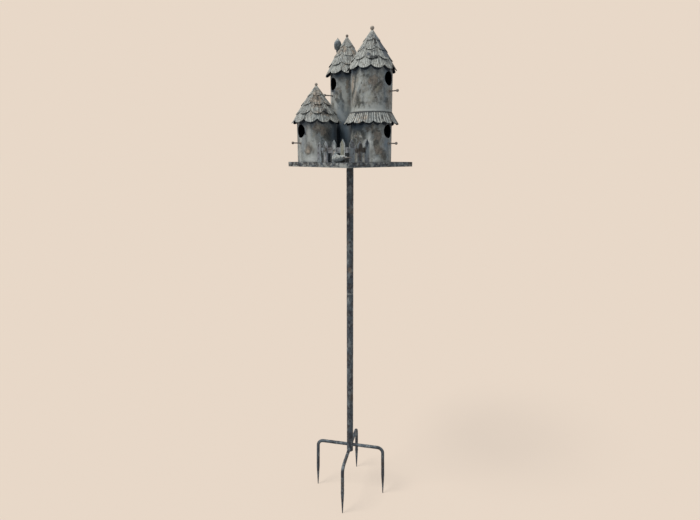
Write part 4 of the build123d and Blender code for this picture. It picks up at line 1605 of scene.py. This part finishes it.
# %% Fence
FENCE_CORNER = PLATFORM_SIDE / 2 - 20.0
RAIL_LOW, RAIL_HIGH = 29.0, 46.0
FENCE_CELL = 5.0
PICKETS = {
    "left": ((22.0, 71.0), (63.0, 70.0), (104.0, 67.0), (136.0, 66.0)),
    "right": ((20.0, 70.0), (54.0, 67.0), (85.0, 72.0)),
}
RAIL_STARTS = {"left": 0.0, "right": 2 * PICKET_T + GAP}
FENCE_MARKS = {
    "left": {
        "dirt": ((24, 48, 9, 26, 1.0), (24, 10, 9, 22, 0.9)),
        "chalk": (
            (11, 36, 2, 40, 1.2), (43, 38, 9, 8, 0.7), (66, 40, 7, 30, 0.35), (60, 48, 4, 5, 0.7),
            (106, 56, 4, 12, 0.5), (108, 12, 5, 16, 0.6), (133, 56, 3, 14, 0.5),
        ),
        "soot_and_shade": (
            (26, 14, 9, 12, 0.4), (82, 34, 10, 7, 0.5), (97, 24, 4, 40, 0.8), (116, 16, 4, 20, 0.6),
        ),
        "rust": (
            (66, 36, 5, 7, 0.6), (84, 38, 12, 10, 1.0), (118, 40, 9, 9, 0.9), (106, 26, 6, 8, 0.7),
        ),
        "bark": (
            (58, 60, 3, 9, 0.5), (70, 50, 3, 9, 0.5), (102, 40, 9, 9, 0.9), (120, 34, 8, 6, 0.7),
            (140, 48, 5, 18, 0.6), (112, 60, 4, 10, 0.7), (126, 22, 5, 16, 0.6),
        ),
    },
    "right": {
        "chalk": ((10, 40, 2, 40, 0.5), (58, 34, 3, 8, 0.6), (95, 30, 2.5, 34, 0.9)),
        "bark": (
            (26, 58, 6, 8, 0.6), (56, 50, 9, 14, 0.95), (62, 38, 12, 9, 0.85), (72, 38, 6, 9, 1.2),
        ),
        "rust": ((38, 38, 7, 9, 0.7), (50, 36, 9, 9, 0.8), (54, 14, 10, 20, 0.75)),
        "soot_and_shade": ((64, 58, 2, 8, 0.5), (85, 59, 4, 13, 1.4), (79, 30, 3, 18, 0.8)),
        "dirt": ((90, 20, 5, 20, 0.4),),
    },
}


def fence_wing(side):
    """A rail and its pickets, built along x and then turned into place."""
    pickets = PICKETS[side]
    bm = bmesh.new()
    layers = paint_layers(bm, "rust", "soot_and_shade", "chalk", "dirt", "bark")
    end = pickets[-1][0] + PICKET_W / 2
    box_block(bm, (RAIL_STARTS[side], PICKET_T, RAIL_LOW), (end, 2 * PICKET_T, RAIL_HIGH))
    for middle, height in pickets:
        picket(bm, layers, middle, height)
    refine(bm, FENCE_CELL, 3)
    for vert in bm.verts:
        along, out, up = vert.co
        stain_point(vert, layers, FENCE_MARKS[side], along, up)
        x, y = (-along, out) if side == "left" else (-out, along)
        vert.co = Vector((FENCE_CORNER + x, -FENCE_CORNER + y, PLATFORM_TOP + up)) * MM
    bmesh.ops.recalc_face_normals(bm, faces=bm.faces)
    finish_piece(
        f"fence_{side}_wing", bm, [FENCE_SHEET], f"fence_{side}", sharp=radians(25)
    )


for side in PICKETS:
    fence_wing(side)

# %% [markdown]
# ## Birds
# Both birds are small castings of one pattern: a body, a head, a beak, folded wings and
# a tail, run together. Balls and cones are shaped and joined by a voxel remesh, as clay
# would be, and a smoothing pass takes away the steps.

# %% Clay bird


def egg(bm, centre, size, tilt=0.0):
    """An egg in the bird's own frame: beak along +x, up along +z, in millimetres."""
    made = bmesh.ops.create_uvsphere(bm, u_segments=20, v_segments=12, radius=0.5)["verts"]
    bmesh.ops.scale(bm, verts=made, vec=size)
    bmesh.ops.rotate(bm, verts=made, cent=(0, 0, 0), matrix=Matrix.Rotation(radians(tilt), 3, "Y"))
    bmesh.ops.translate(bm, verts=made, vec=centre)


def clay_bird(length, head, tail):
    """The lumps of a bird about the middle of its body, still apart."""
    chest = length / 2
    bm = bmesh.new()
    egg(bm, (chest - 16, 0, 0), (30, 25, 25))
    egg(bm, (-2, 0, -1), (length * 0.86, 22, 20), tilt=4)
    egg(bm, (-chest + 9, 0, 0), (24, 13, 11), tilt=6)
    egg(bm, head, (15, 13.5, 14))
    egg(bm, (chest - 13, 0, 7), (16, 14, 16))
    for side in (-1, 1):
        egg(bm, (-2, side * 9.5, 2), (length * 0.72, 7, 14), tilt=10)
        egg(bm, (-chest + 4, side * 5.5, 3), (22, 4, 7), tilt=6)
    beak = bmesh.ops.create_cone(bm, segments=14, radius1=2.9, radius2=0.5, depth=9.0, cap_ends=True)["verts"]
    bmesh.ops.rotate(bm, verts=beak, cent=(0, 0, 0), matrix=Matrix.Rotation(pi / 2, 3, "Y"))
    bmesh.ops.translate(bm, verts=beak, vec=head + Vector((8.5, 0, -0.6)))
    for vert in bmesh.ops.create_cube(bm, size=1.0)["verts"]:
        x, y, z = vert.co
        if x < 0:
            vert.co = Vector((-chest - tail, y * 12, 2.5 + z * 1.8))
        else:
            vert.co = Vector((-chest + 8, y * 8, 1.5 + z * 5))
    return bm


print("points of a bird's clay:", len(clay_bird(42.0, Vector((9, 0, 14)), 9.0).verts))

# %% [markdown]
# The remesh works on an object, so the clay is one for a moment. Its modifiers are
# evaluated, the result is read back into a bmesh, and the clay is removed.

# %% Casting
CLAY_VOXEL = 0.8
CLAY_SMOOTHING, CLAY_ROUNDS = 0.6, 6


def cast(name, clay):
    """Runs the lumps of a bmesh together into one smooth skin."""
    rough = bpy.data.meshes.new(name + "_rough")
    clay.to_mesh(rough)
    clay.free()
    lump = link_new(name + "_rough", rough)
    remesh = lump.modifiers.new("remesh", "REMESH")
    remesh.mode = "VOXEL"
    remesh.voxel_size = CLAY_VOXEL * MM
    even = lump.modifiers.new("even", "SMOOTH")
    even.factor = CLAY_SMOOTHING
    even.iterations = CLAY_ROUNDS
    skin = bpy.data.meshes.new_from_object(lump.evaluated_get(bpy.context.evaluated_depsgraph_get()))
    bpy.data.objects.remove(lump)
    bpy.data.meshes.remove(rough)
    bm = bmesh.new()
    bm.from_mesh(skin)
    bpy.data.meshes.remove(skin)
    return bm


print("clay is remeshed in cells of", CLAY_VOXEL, "mm")

# %% [markdown]
# The casting is painted in the bird's own frame: soot in the eyes and over the shoulders,
# painted shade under the belly, rust on cheek, crown and tail, chalk on the back. The wings
# get shallow waves across, as feathers. One bird sits on the rear roof with its beak up, and
# the other stands level on the tray before the fence.

# %% Birds
EYE = Vector((3.2, 6.0, 1.6))
EYE_R = 1.7
FEATHER_WAVE = 2.4
FEATHER_MM = 0.3


def small_bird(name, node, place, heading, pitch, length, tail):
    """Shapes, casts and paints a bird; its place is the middle of its body, in millimetres."""
    chest = length / 2
    head = Vector((chest - 12, 0, 14))
    turn = Matrix.Rotation(radians(heading), 4, "Z") @ Matrix.Rotation(radians(-pitch), 4, "Y")
    clay = clay_bird(length, head, tail)
    clay.transform(Matrix.Translation(place) @ turn)
    bmesh.ops.scale(clay, verts=clay.verts, vec=(MM, MM, MM))
    bm = cast(name, clay)
    layers = paint_layers(bm, "soot_and_shade", "chalk", "rust")
    to_own = (Matrix.Translation(place) @ turn).inverted()
    for vert in bm.verts:
        own = to_own @ (vert.co / MM)
        from_head = own - head
        eye = (Vector((from_head.x, abs(own.y), from_head.z)) - EYE).length
        crown = bell((from_head - Vector((0, own.y, 5))).length, 5)
        shoulder = bell((own - Vector((-2, own.y, 11))).length, 5)
        behind = smooth_step(-own.x, chest - 4, chest + 6)
        cheek = bell(from_head.x - 2, 4) * bell(from_head.z + 2, 3)
        belly = smooth_step(-own.z, 9, 14)
        beak = smooth_step(own.x, chest, chest + 2)
        # Soot on eyes, crown, shoulders, beak and tail; the belly's share is painted shade.
        vert[layers["soot_and_shade"]] = (
            1.4 * bell(eye, EYE_R) + 0.35 * belly + 0.30 * crown + 0.7 * shoulder + 0.7 * beak
            + 0.25 * behind
        )
        vert[layers["rust"]] = 0.8 * cheek + 0.9 * crown + 0.6 * behind
        vert[layers["chalk"]] = smooth_step(own.z, -10, 2) * (1 - behind) * (0.60 - 0.4 * crown)
        if abs(own.y) > 9 and own.x < chest - 14:
            feather = sin((own.z * 0.9 + own.x * 0.22) * FEATHER_WAVE)
            outward = (turn.to_3x3() @ Vector((0, own.y, 0))).normalized()
            vert.co += outward * feather * FEATHER_MM * MM
    finish_piece(name, bm, [BIRD_PAINT], node, sharp=radians(80))


small_bird(
    "roof_bird_casting", "roof_bird", about("rear", 396.0, radians(222), 32.5),
    heading=-45.0, pitch=50.0, length=42.0, tail=9.0,
)
small_bird(
    "fence_bird_casting", "fence_bird",
    Vector((FENCE_CORNER - 26.0, -FENCE_CORNER - 13.3, PLATFORM_TOP + 13.3)),
    heading=180.0, pitch=0.0, length=55.0, tail=28.0,
)
